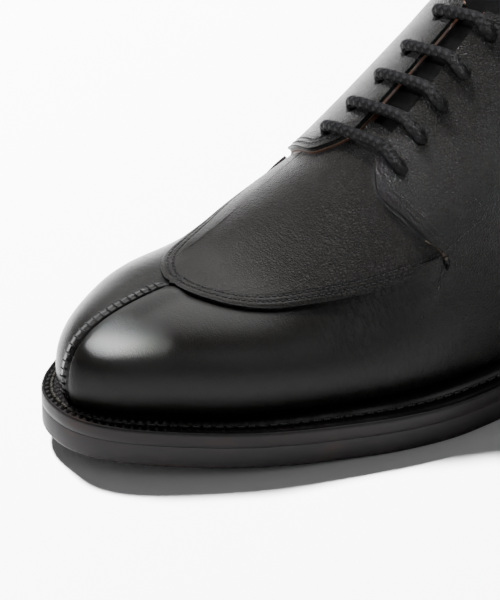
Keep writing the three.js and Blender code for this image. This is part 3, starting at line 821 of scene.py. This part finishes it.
def panel_height(angle, down):
    """Height of the outer face of the quarters and side panels over the skin."""
    away = from_heel(angle)
    flat = skin(angle, down)
    base = facing_lift(angle, down)
    beyond = away - flap_front(np.maximum(down, FLAP_TIP))
    base = base * (1 - smooth(beyond / 8))
    near = np.abs(np.asarray(angle) % 360 - TOE) < 40
    x = flat[..., 0] - skin(np.full_like(flat[..., 0], TOE), down)[..., 0] - seam_lean(down)
    seam = np.where(near, seam_height(x, down * 52) * smooth((down - 0.035) / 0.03), 0)
    tuck = -0.5 * smooth((down - 0.93) / 0.07)
    return base + seam + tuck


def panel_blocks(columns, upper, lower, front, setback, under):
    """Places of the sheet's three blocks: facings, lower quarters, and the front under the apron.

    setback pulls in the facings' front edge, in degrees, and under is how far down the front starts
    from the apron's edge.
    """

    def front_edge(down):
        return flap_front(down) - setback * ramp((0.76, FLAP_TIP), down)

    u, t = np.meshgrid(columns, upper, indexing="ij")
    top = quarter_top((u * FACING_FRONT["angle"][0]) % 360)
    for _ in range(4):
        near = u * front_edge(mix(top, FLAP_TIP, t))
        top = quarter_top(near % 360)
    first = (near % 360, mix(top, FLAP_TIP, t))
    u, t = np.meshgrid(columns, lower, indexing="ij")
    down = mix(FLAP_TIP, 1, t)
    second = ((u * front_edge(down)) % 360, down)
    u, t = np.meshgrid(front, lower, indexing="ij")
    start = float(front_edge(FLAP_TIP))
    hidden = np.maximum(0.004, apron_edge(TOE - mix(start, 360 - start, u)) + under)
    edge = 1 - np.abs(2 * u - 1)
    top = np.where(edge <= 0, FLAP_TIP, np.minimum(hidden, max(FLAP_TIP, FLAP_TIP + under)))
    down = mix(top, 1, t)
    near = front_edge(np.maximum(down, FLAP_TIP))
    third = (mix(near, 360 - near, u), down)
    return first, second, third


def panel_sheet(name, columns, upper, lower, front, height, finish, setback=0.0, under=-0.035):
    points, faces, values, first = [], [], [], 0
    for angle, down in panel_blocks(columns, upper, lower, front, setback, under):
        raised = height(angle, down)
        points.append(over_skin(angle, down, raised).reshape(-1, 3))
        values.append(grain_amount(angle, down).ravel())
        faces += grid_faces(*angle.shape, first=first)
        first += angle.size
    values = {"grain": np.concatenate(values)}
    return make(name, np.concatenate(points), faces, finish, values=values, merge=2e-6)


def grain_amount(angle, down):
    """How pebbled the leather is: smooth and polished at the toe, strong on the quarters."""
    y = skin(angle, down)[..., 1]
    back = ramp((-62, -18), y)
    high = 1 - 0.65 * ramp((0.62, 0.95), down) * ramp((10, -40), y)
    return 0.05 + 0.95 * back * high


def detailed_height(angle, down):
    """The panels' height with stitching furrows and the eyelets' pits."""
    base = panel_height(angle, down)
    surface = over_skin(angle, down, base)
    near = surface[..., 1] > -75
    behind = flap_front(np.minimum(down, FLAP_TIP)) - from_heel(angle)
    high = smooth((FLAP_TIP + 0.03 - down) / 0.03) * smooth(behind / 0.4 + 0.5)
    cut = np.zeros_like(base)
    for line in flap_lines:
        gap = distance_to(surface, over_skin(*line, facing_lift(*line)))
        for at in FACING_FURROWS:
            cut += furrow(gap, at, 0.12) * high
    for line in bar_lines:
        gap = distance_to(surface, over_skin(*line, facing_lift(*line)))
        cut += furrow(gap, 0.0, 0.16)
    gap = distance_to(surface, over_skin(*collar_line, facing_lift(*collar_line)))
    cut += furrow(gap, COLLAR_FURROW, 0.15) * high
    for point in eyelet_points:
        gap = np.linalg.norm(surface - point, axis=-1)
        cut -= EYELET_PIT["depth"] * smooth((EYELET_PIT["radius"] - gap) / EYELET_PIT["edge"])
    return base + cut * near


PANEL = 1.25                     # thickness of the outer leather
LINING = 0.85
LINING_DEPTH = 1.32              # from the outer face of the panels to the lining

columns = spread(0, (0.80, 80), (0.8646, 14), (1.0, 56))
middle = ((0.44, 105), (0.485, 22), (0.515, 44), (0.56, 22), (0.96, 105))
panels = panel_sheet("side_panels", mirrored(columns), spread(0, (0.26, 26), (1, 26)),
                     spread(0, (0.9, 34), (1, 8)), spread(0, (0.04, 12), *middle, (1.0, 12)),
                     detailed_height, calf)
thicken(panels, PANEL)
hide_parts("upper")

inside = panel_sheet("lining", mirrored(spread(0, (0.86, 120), (1.0, 16))), spread(0, (0.2, 6), (1, 14)),
                     spread(0, (1, 18)), spread(0, (1, 120)),
                     lambda angle, down: panel_height(angle, down) - LINING_DEPTH, lining,
                     setback=3.0, under=0.06)
thicken(inside, LINING, 0.3, 2)


# Apron: laps over the panels, with a cut edge and two rows of stitches
def apron_reach(share):
    down = APRON_EDGE["down"][-1] * share
    return np.where(down < APRON_TURN, TOE - APRON_BACK, TOE - flap_front(down) - APRON_CLEAR)


def apron_piece():
    columns = mirrored(spread(0, (0.43, 50), (0.88, 80), (1, 24)))
    shares = spread(0, (0.80, 34), (0.93, 18), (1, 16))
    c, s = np.meshgrid(columns, shares, indexing="ij")
    away = c * apron_reach(s)
    down = apron_edge(away) * s
    angle = TOE + away
    flat = skin(angle, down)
    gap = distance_to(flat, apron_rim)
    height = GAP + OVERLAY - 0.3 * (1 - smooth(gap / 1.3))
    for at in APRON_FURROWS:
        height = height + furrow(gap, at, 0.2, 0.34)
    points = flat + even_normal(angle, down) * height[..., None]
    grain = 0.25 + 0.75 * ramp((-95, -50), flat[..., 1])
    values = {"grain": grain, "ink_and_shade": 1 - smooth((gap - 0.1) / 0.25)}
    faces = grid_faces(*angle.shape)
    piece = make("apron_panel", points, faces, apron_calf, values=values, merge=2e-6)
    thicken(piece, OVERLAY - 0.05, 0.3)
    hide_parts("apron")


apron_piece()
for row, distance in enumerate(APRON_FURROWS):
    angle, down = line_beside(*apron_line, distance, -1)
    stitch_row(f"apron_stitches_{row + 1}", angle, down, np.full_like(angle, GAP + OVERLAY - 0.02))


# Tongue
def tongue_piece():
    lengths, shares = spread(0, (1, 60)), spread(1, (-1, 60))
    t, s = np.meshgrid(lengths, shares, indexing="ij")
    station = mix(TONGUE["foot"] + 0.018, TONGUE["top"] + TONGUE["top_round"] * s**2, t)
    reach = mix(TONGUE["foot_spread"], TONGUE["top_spread"], smooth(t))
    angle = np.where(s < 0, 360 - angle_at(station), angle_at(station))
    down = np.abs(s) * reach
    height = GAP + OVERLAY - 0.25 * smooth((np.abs(s) - 0.85) / 0.15)
    height = height - 1.6 * ramp((TONGUE["foot"] - 0.012, TONGUE["foot"] - 0.002), station)
    points = skin(angle, down) + even_normal(angle, down) * height[..., None]
    faces = grid_faces(*angle.shape)
    piece = make("tongue_leather", points, faces, tongue_calf_painted_shade, merge=2e-6)
    thicken(piece, OVERLAY - 0.05, 0.3)
    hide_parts("tongue")


tongue_piece()

# Stitching of the quarters
for side, line in zip(("outer", "inner"), flap_lines):
    for row, distance in enumerate(FACING_FURROWS):
        angle, down = line_beside(*line, distance, 1 if side == "outer" else -1)
        keep = slice(14, -6)
        lift = facing_lift(angle, down)
        stitch_row(f"facing_stitches_{side}_{row + 1}", angle[keep], down[keep], lift[keep])
for side, line in zip(("outer", "inner"), bar_lines):
    stitch_row(f"quarter_stitches_{side}", *line, facing_lift(*line), 2.0, 1.6)
angle, down = line_beside(*collar_line, COLLAR_FURROW, 1)
stitch_row("collar_stitches", angle, down, facing_lift(angle, down))


def facing_edges():
    """The thick cut edges of the facings: painted leather, a bare line and the lining's edge.

    The rim holds pairs of a depth under the face and a distance beyond the edge.
    """
    rim = [(0.08, -0.10), (0.2, 0.05), (0.6, 0.10), (1.2, 0.10), (1.5, 0.08), (1.56, 0.04), (1.74, 0.04),
           (1.8, 0.07), (2.2, 0.07), (2.45, -0.1), (2.5, -1.2)]
    pitch, end = 0.6, 0.585
    depths = np.array(rim)[:, 0] / 1000
    throat = np.linspace(float(angle_at(FACING_TOP)), FACING_FRONT["angle"][0], 120)[:-1]
    front = flap_down[flap_down < end]
    points, faces, uv, first = [], [], [], 0
    for side, thickness in ((1, 1.0), (-1, 1.15)):
        angle = np.concatenate([side * throat % 360, side * flap_front(front) % 360])
        down = np.concatenate([quarter_top(side * throat % 360), front])
        face = over_skin(angle, down, facing_lift(angle, down))
        face, angle, down = resample(face, pitch, angle, down)
        normal = skin_normal(angle, down)
        out = unit(np.cross(unit(np.gradient(face, axis=0)), normal)) * -side
        thin = (thickness * (1 - 0.75 * ramp((0.5, end), down)))[:, None]
        rows = [face - normal * depth * thin + out * beyond for depth, beyond in rim]
        points.append(np.stack(rows, 1).reshape(-1, 3))
        # Painted shade: on the outer facing the depths are shortened so its edge stays black where the bare
        # line and the lining's russet edge lie in shade; only near the low end do the pale line and a little
        # russet show.
        low = mix(0.55, 0.72, ramp((0.44, 0.5), down) * ramp((0.58, 0.55), down))[:, None]
        run = np.arange(len(face)) * pitch / 1000
        uv.append(grid_uv(run, depths * (1 if side < 0 else low)).reshape(-1, 2))
        faces += grid_faces(len(face), len(rim), first, flip=side > 0)
        first += len(points[-1])
    make("facing_edges", np.concatenate(points), faces, painted_edge, uv=np.concatenate(uv))


facing_edges()


def gap_shade_sheet():
    """A dark grained sheet under the low end of the outer facing, where it meets the apron: painted shade for
    the gap there, darkened further by its ink value.
    """
    angle, down = np.meshgrid(np.linspace(103.0, 111.5, 24), np.linspace(0.47, 0.66, 24), indexing="ij")
    points = over_skin(angle, down, np.full_like(down, -0.15))
    values = {"grain": np.ones_like(down), "ink_and_shade": np.full_like(down, 0.6)}
    make("gap_shade_outer", points, grid_faces(*angle.shape), calf, values=values)


gap_shade_sheet()


# Split seam: stitches lie over the ribbed lip, from the inner side into the groove
def seam_stitches():
    down = np.linspace(0.085, 0.93, 900)
    angle = np.full_like(down, TOE)
    centre = skin(angle, down)
    picked, d = resample(centre, STITCH_PITCH, down)
    a = np.full_like(d, TOE)
    side = picked + np.stack([seam_lean(d) - 1.9, 0 * d, 0 * d], -1)
    a, d = locate(side, a, d)
    normals = skin_normal(a, d)
    centres = over_skin(a, d, SEAM_LIP * 0.95)
    along = np.tile((1.0, 0.0, 0.12), (len(d), 1))
    bars("seam_stitches", centres, along, normals, 2.8, 0.3, thread, flat=0.8)


seam_stitches()


# Lacing
def tube(name, path, radius, finish):
    """A round cord along a path, with u of the UV map along it."""
    sides = 20
    along = unit(np.gradient(path, axis=0))
    side = np.array([0.0, -0.6, 0.8])
    frame_x = np.empty_like(path)
    for i, direction in enumerate(along):
        side = side - direction * (side @ direction)
        side /= np.linalg.norm(side)
        frame_x[i] = side
    frame_y = np.cross(along, frame_x)
    run = run_along(path) / 1000
    turn = np.linspace(0, 2 * math.pi, sides + 1)
    cosine, sine = np.cos(turn)[:, None], np.sin(turn)[:, None]
    points = path[:, None] + (cosine * frame_x[:, None] + sine * frame_y[:, None]) * radius
    uv = grid_uv(run, turn / (2 * math.pi))
    rows, columns = len(path), sides + 1
    ends = [path[0] - along[0] * radius * 0.3, path[-1] + along[-1] * radius * 0.3]
    points = np.concatenate([points.reshape(-1, 3), ends])
    uv = np.concatenate([uv.reshape(-1, 2), [(0, 0), (run[-1], 0)]])
    first, last = rows * columns, rows * columns + 1
    faces = grid_faces(rows, columns)
    faces += [(first, i, i + 1) for i in range(sides)]
    faces += [(last, (rows - 1) * columns + i + 1, (rows - 1) * columns + i) for i in range(sides)]
    return make(name, points, faces, finish, uv=uv, merge=1e-6)


def smooth_path(points, count):
    """A Catmull-Rom curve through points, evenly resampled."""
    points = np.asarray(points, float)
    padded = np.concatenate([[2 * points[0] - points[1]], points, [2 * points[-1] - points[-2]]])
    line = []
    for i in range(1, len(padded) - 2):
        a, b, c, d = padded[i - 1 : i + 3]
        t = np.linspace(0, 1, 24, endpoint=i == len(padded) - 3)[:, None]
        line.append(0.5 * (2 * b + (c - a) * t + (2 * a - 5 * b + 4 * c - d) * t**2
                           + (3 * b - a - 3 * c + d) * t**3))
    line = np.concatenate(line)
    length = np.linalg.norm(np.diff(line, axis=0), axis=1).sum()
    return resample(line, length / count)[0]


LACE_RADIUS = 1.8


def lace_bar(number, row):
    arms = []
    over = LIFT + LACE_RADIUS + 0.1
    heights = (LIFT - WALL - 0.9, LIFT - 0.4, LIFT + 1.1, over + 0.35, over)
    for side in (1, -1):
        angle, down = eyelet_place(row, side)
        shares = (down, down, down * 0.96, down * 0.84, down * 0.45)
        arms.append([over_skin(angle, share, height) for share, height in zip(shares, heights)])
    path = smooth_path([*arms[0], *arms[1][::-1]], 70)
    piece = tube(f"lace_row_{number}", path, LACE_RADIUS, braid)
    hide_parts(f"lace_bar_{number}")


for number, row in enumerate(LACE_ROWS):
    lace_bar(number + 1, row)


# Sole
ROUND = spread(0, (30, 100), (150, 260), (210, 240), (330, 260), (360, 100))[:-1]


def sweep(name, profile, finish):
    """A strip round the sole. The profile is rows of (inset, height over the underside)."""
    rings = []
    for inset, height in profile:
        flat = inset_outline(ROUND, inset(ROUND) if callable(inset) else np.full_like(ROUND, inset))
        rings.append(at_height(flat, underside(flat[:, 1]) + (height(ROUND) if callable(height) else height)))
    rings = np.stack([*rings, rings[0]], 1)
    run = run_along(rings[:, 0]) / 1000
    rise = run_along(rings[len(run) // 4]) / 1000
    faces = grid_faces(*rings.shape[:2], wrap=True, flip=True)
    return make(name, rings, faces, finish, uv=grid_uv(run, rise), merge=1e-6)


def rounded(points, radius, steps=3):
    """Rounds the corners of an open profile of (inset, height) pairs."""
    points = [np.array(p, float) for p in points]
    out = [points[0]]
    for before, corner, after in zip(points, points[1:], points[2:]):
        a = corner + (before - corner) / np.linalg.norm(before - corner) * radius
        b = corner + (after - corner) / np.linalg.norm(after - corner) * radius
        out += [mix(mix(a, corner, t), mix(corner, b, t), t) for t in np.linspace(0, 1, steps + 1)]
    return [tuple(p) for p in out + [points[-1]]]


MIDSOLE_BASE = OUTSOLE + GAP
WELT_BASE = MIDSOLE_BASE + MIDSOLE + GAP
WELT_TOP = WELT_BASE + WELT


FINE = np.linspace(0, 360, 7201)
FINE_RUN = run_along(outline(FINE))


def round_run(angles):
    """Distance round the sole's edge, in millimetres."""
    return np.interp(angles, FINE, FINE_RUN)


def wheeled(base, depth):
    """The fudge wheel's marks: a fine row of notches along the welt."""
    return lambda angles: base - depth * (0.5 - 0.5 * np.cos(2 * math.pi * round_run(angles) / 2.4)) ** 2


def welt_inner(angles):
    return ledge(angles) + WALL + 2 * GAP


def welt_middle(share):
    return lambda angles: 1.3 + (np.maximum(ledge(angles) - 0.4, 2.2) - 1.3) * share


welt_profile = [
    (welt_inner, WELT_BASE),
    (0.12, WELT_BASE),
    (0.0, WELT_BASE + 0.08),
    (-0.02, WELT_TOP - 0.75),
    (0.12, WELT_TOP - 0.2),
    (0.42, WELT_TOP),
    (0.75, WELT_TOP - 0.08),
    (1.0, WELT_TOP - 0.5),
    (welt_middle(0.0), wheeled(WELT_TOP - 0.5, 0.4)),
    (welt_middle(0.12), wheeled(WELT_TOP - 0.2, 0.8)),
    (welt_middle(0.26), wheeled(WELT_TOP - 0.2, 0.9)),
    (welt_middle(0.36), wheeled(WELT_TOP - 0.75, 0.3)),
    (welt_middle(0.52), WELT_TOP - 1.0),
    (welt_middle(0.66), WELT_TOP - 0.75),
    (welt_middle(0.76), wheeled(WELT_TOP - 0.2, 0.6)),
    (welt_middle(0.9), wheeled(WELT_TOP - 0.2, 0.4)),
    (welt_middle(1.0), WELT_TOP - 0.35),
    (welt_inner, WELT_TOP - 0.3),
]
welt = sweep("welt_strip", welt_profile, welt_ink_and_shade)
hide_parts("welt")

SOLE_DEPTH = 14                  # how far in the flat faces between the soles go
midsole_profile = [
    (SOLE_DEPTH, OUTSOLE + 0.03),
    (0.03, OUTSOLE + 0.03),
    (-0.03, MIDSOLE_BASE + 1.2),
    (-0.05, WELT_TOP - 0.85),
    (0.4, WELT_TOP - 0.8),
    (0.4, WELT_BASE),
    (SOLE_DEPTH, WELT_BASE),
]
midsole = sweep("midsole_edge", rounded(midsole_profile, 0.1), sole_ink)
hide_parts("midsole")


def welt_stitches():
    count = int(FINE_RUN[-1] / 3.3)
    run = (np.arange(count) + 0.5) * FINE_RUN[-1] / count
    angles = np.interp(run, FINE_RUN, FINE)
    inset = welt_middle(0.5)(angles)
    flat, ahead, behind = (inset_outline(angles + turn, inset) for turn in (0, 0.2, -0.2))
    centres = at_height(flat, underside(flat[:, 1]) + WELT_TOP - 0.55)
    along = at_height(ahead - behind, underside(ahead[:, 1]) - underside(behind[:, 1]))
    normals = np.tile((0.0, 0.0, 1.0), (count, 1))
    bars("welt_stitches", centres, unit(along), normals, 2.7, 0.5, welt_thread, flat=0.85)


welt_stitches()


EDGE_RIM = 2.0
RIM_WIDTH = 6.5
RECESS = 0.9


def outsole_piece():
    """The outsole: an inked edge band, and a rubber underside with a rim and round studs."""
    edge = rounded([(EDGE_RIM, 0.0), (0.3, 0.0), (-0.02, 0.9), (0.0, OUTSOLE), (SOLE_DEPTH, OUTSOLE)], 0.12)
    profile = [(RIM_WIDTH + 0.6, RECESS), (RIM_WIDTH, 0.0), *edge]
    piece = sweep("outsole_edge", profile, rubber_edge)
    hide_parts("outsole")
    angles = np.linspace(0, 180, 181)[1:-1]
    left = inset_outline(angles, RIM_WIDTH + 0.3)
    right = inset_outline(360 - angles, RIM_WIDTH + 0.3)
    t = np.linspace(0, 1, 25)[None, :, None]
    flat = left[:, None, :] * (1 - t) + right[:, None, :] * t
    points = at_height(flat, underside(flat[..., 1]) + RECESS)
    make("outsole_tread", points, grid_faces(*points.shape[:2], flip=True), rubber)


outsole_piece()


def stud_places(pitch, room):
    """Places in staggered rows between the heel's breast and the toe."""
    for i in range(-14, 15):
        for j in range(-6, 7):
            x, y = (j + 0.5 * (i % 2)) * pitch, i * pitch * 0.87
            station = 0.5 - y / LENGTH
            if not 0.47 < station < 0.97:
                continue
            angle = float(angle_at(station))
            outer, inner = outline(np.array(angle))[0], outline(np.array(360 - angle))[0]
            clear = room + 5 * max(0, station - 0.9) / 0.07
            if inner + clear < x < outer - clear:
                yield x, y


def studs():
    """Round studs in the recess of the tread, level with its rim."""
    radius, sides = 3.4, 24
    turn = np.linspace(0, 2 * math.pi, sides, endpoint=False)
    rings = [(radius, RECESS + 0.2), (radius, 0.3), (radius - 0.3, 0.0), (radius - 1.2, 0.0),
             (radius - 1.5, 0.35), (0.01, 0.35)]
    points, faces = [], []
    for x, y in stud_places(11.5, RIM_WIDTH + radius + 2.2):
        start = len(points)
        for r, z in rings:
            for a in turn:
                px, py = x + r * math.cos(a), y + r * math.sin(a)
                points.append((px, py, float(underside(py)) + z))
        faces += grid_faces(len(rings), sides, start, flip=True)
        for k in range(start, start + (len(rings) - 1) * sides, sides):
            faces.append((k + sides - 1, k, k + sides, k + 2 * sides - 1))
    make("outsole_studs", points, faces, rubber, merge=1e-5)


studs()


# Heel
def heel_ring(inset):
    breast = (0.5 - HEEL_BREAST) * LENGTH + inset
    reach = float(angle_at(HEEL_BREAST))
    back = inset_outline(np.linspace(-reach, reach, 161) % 360, np.full(161, inset))
    t = np.linspace(0, 1, 42)[1:-1]
    front = np.stack([mix(back[-1, 0], back[0, 0], t), breast + BREAST_HOLLOW * 4 * t * (1 - t)], -1)
    return np.concatenate([back, front])


def heel_piece(name, levels, finish):
    """A level block through (inset, height) pairs, with flat ends."""
    flats = [(heel_ring(inset), z) for inset, z in levels]
    points = np.stack([at_height(flat, np.full(len(flat), z)) for flat, z in flats], 1)
    rise = np.array([z for inset, z in levels]) / 1000
    faces = grid_faces(*points.shape[:2], wrap=True, flip=True)
    rows, count = points.shape[:2]
    faces += [tuple(range(0, rows * count, count))[::-1], tuple(range(count - 1, rows * count, count))]
    return make(name, points, faces, finish, uv=grid_uv(run_along(points[:, 0]) / 1000, rise))


LIFTS = 4
lift_height = (HEEL_HEIGHT - TOP_PIECE - GAP) / LIFTS
stack_levels = [(HEEL_INSET + 0.3, TOP_PIECE + 0.05)]
for lift in range(LIFTS):
    low = TOP_PIECE + 0.05 + lift * lift_height
    high = low + lift_height
    stack_levels += [(HEEL_INSET, low + 0.2), (HEEL_INSET, high - 0.25), (HEEL_INSET + 0.22, high)]
stack = heel_piece("heel_lifts", stack_levels, sole_ink)
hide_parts("heel_stack")
rubber_levels = [(HEEL_INSET + 1.0, 0), (HEEL_INSET + 0.25, 0.2), (HEEL_INSET, 0.8),
                 (HEEL_INSET, TOP_PIECE - 0.3), (HEEL_INSET + 0.25, TOP_PIECE)]
top_piece = heel_piece("heel_rubber", rubber_levels, rubber_edge)
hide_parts("heel_top_piece")

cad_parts["insole"].data.materials[0] = insole_leather


# Floor, lights and camera
def studio():
    size = 6.0
    mesh = bpy.data.meshes.new("floor")
    corners = [(-size, -size, 0), (size, -size, 0), (size, size, 0), (-size, size, 0)]
    mesh.from_pydata(corners, [], [(0, 1, 2, 3)])
    floor = link(bpy.data.objects.new("floor", mesh))
    mesh.materials.append(Net("floor", (0.88, 0.88, 0.885), 0.8, Specular_IOR_Level=0.0).material)
    world = bpy.data.worlds.new("studio")
    world.use_nodes = True
    background = world.node_tree.nodes["Background"].inputs
    background["Color"].default_value = (1.0, 1.0, 1.0, 1)
    background["Strength"].default_value = 0.2
    bpy.context.scene.world = world


def direction(azimuth, elevation):
    """From a point outwards. Azimuth 0 is in front of the toe and 90 at the outer side."""
    across = math.cos(elevation)
    return Vector((math.sin(azimuth) * across, -math.cos(azimuth) * across, math.sin(elevation)))


def softbox(name, azimuth, elevation, distance, size, power, aim=(0.0, -0.06, 0.04), spread=180):
    """An area light, in degrees and metres."""
    back = direction(math.radians(azimuth), math.radians(elevation))
    light = bpy.data.lights.new(name, "AREA")
    light.shape = "RECTANGLE"
    light.size, light.size_y = size
    light.energy = power
    light.spread = math.radians(spread)
    lamp = link(bpy.data.objects.new(name, light))
    lamp.location = Vector(aim) + back * distance
    lamp.rotation_euler = back.to_track_quat("Z", "Y").to_euler()
    return lamp


def camera():
    """The photo's view: the point at the image's middle, the direction it is seen from, and the lens."""
    frame_height, sensor = 600, 36
    target = (np.array([-0.93368, -86.14549, 33.31804]) + SHIFT) / 1000
    azimuth, elevation, roll = (math.radians(a) for a in (50.85451, 35.10378, 1.60520))
    distance, focal_px = math.exp(6.568589) / 1000, math.exp(7.791863)
    back = direction(azimuth, elevation)
    right = Vector((math.cos(azimuth), math.sin(azimuth), 0))
    up = back.cross(right)
    x = right * math.cos(roll) + up * math.sin(roll)
    y = up * math.cos(roll) - right * math.sin(roll)
    lens = bpy.data.cameras.new("camera")
    lens.sensor_fit = "VERTICAL"
    lens.sensor_height = sensor
    lens.lens = focal_px / frame_height * sensor
    lens.clip_start = 0.01
    eye = link(bpy.data.objects.new("camera", lens))
    turned = Matrix((x, y, back)).transposed().to_4x4()
    eye.matrix_world = Matrix.Translation(Vector(target) + back * distance) @ turned
    bpy.context.scene.camera = eye


studio()
key = softbox("key", -85, 56.5, 1.5, (0.14, 0.14), 300)
key.visible_glossy = False
overhead = softbox("overhead", -125, 62, 1.5, (2.0, 1.6), 190)
toe_lamp = softbox("toe_lamp", 18, 63, 0.6, (0.004, 0.004), 0.034, (-0.0005, -0.1324, 0.0375), 2.6)
front = softbox("front", 84, 30, 1.4, (1.4, 1.0), 34)
glint = softbox("glint", 35, 56, 1.0, (0.06, 0.06), 0.3, (0.012, -0.02, 0.08), 5)
for lamp in (overhead, toe_lamp, front, glint):
    lamp.visible_diffuse = False
camera()
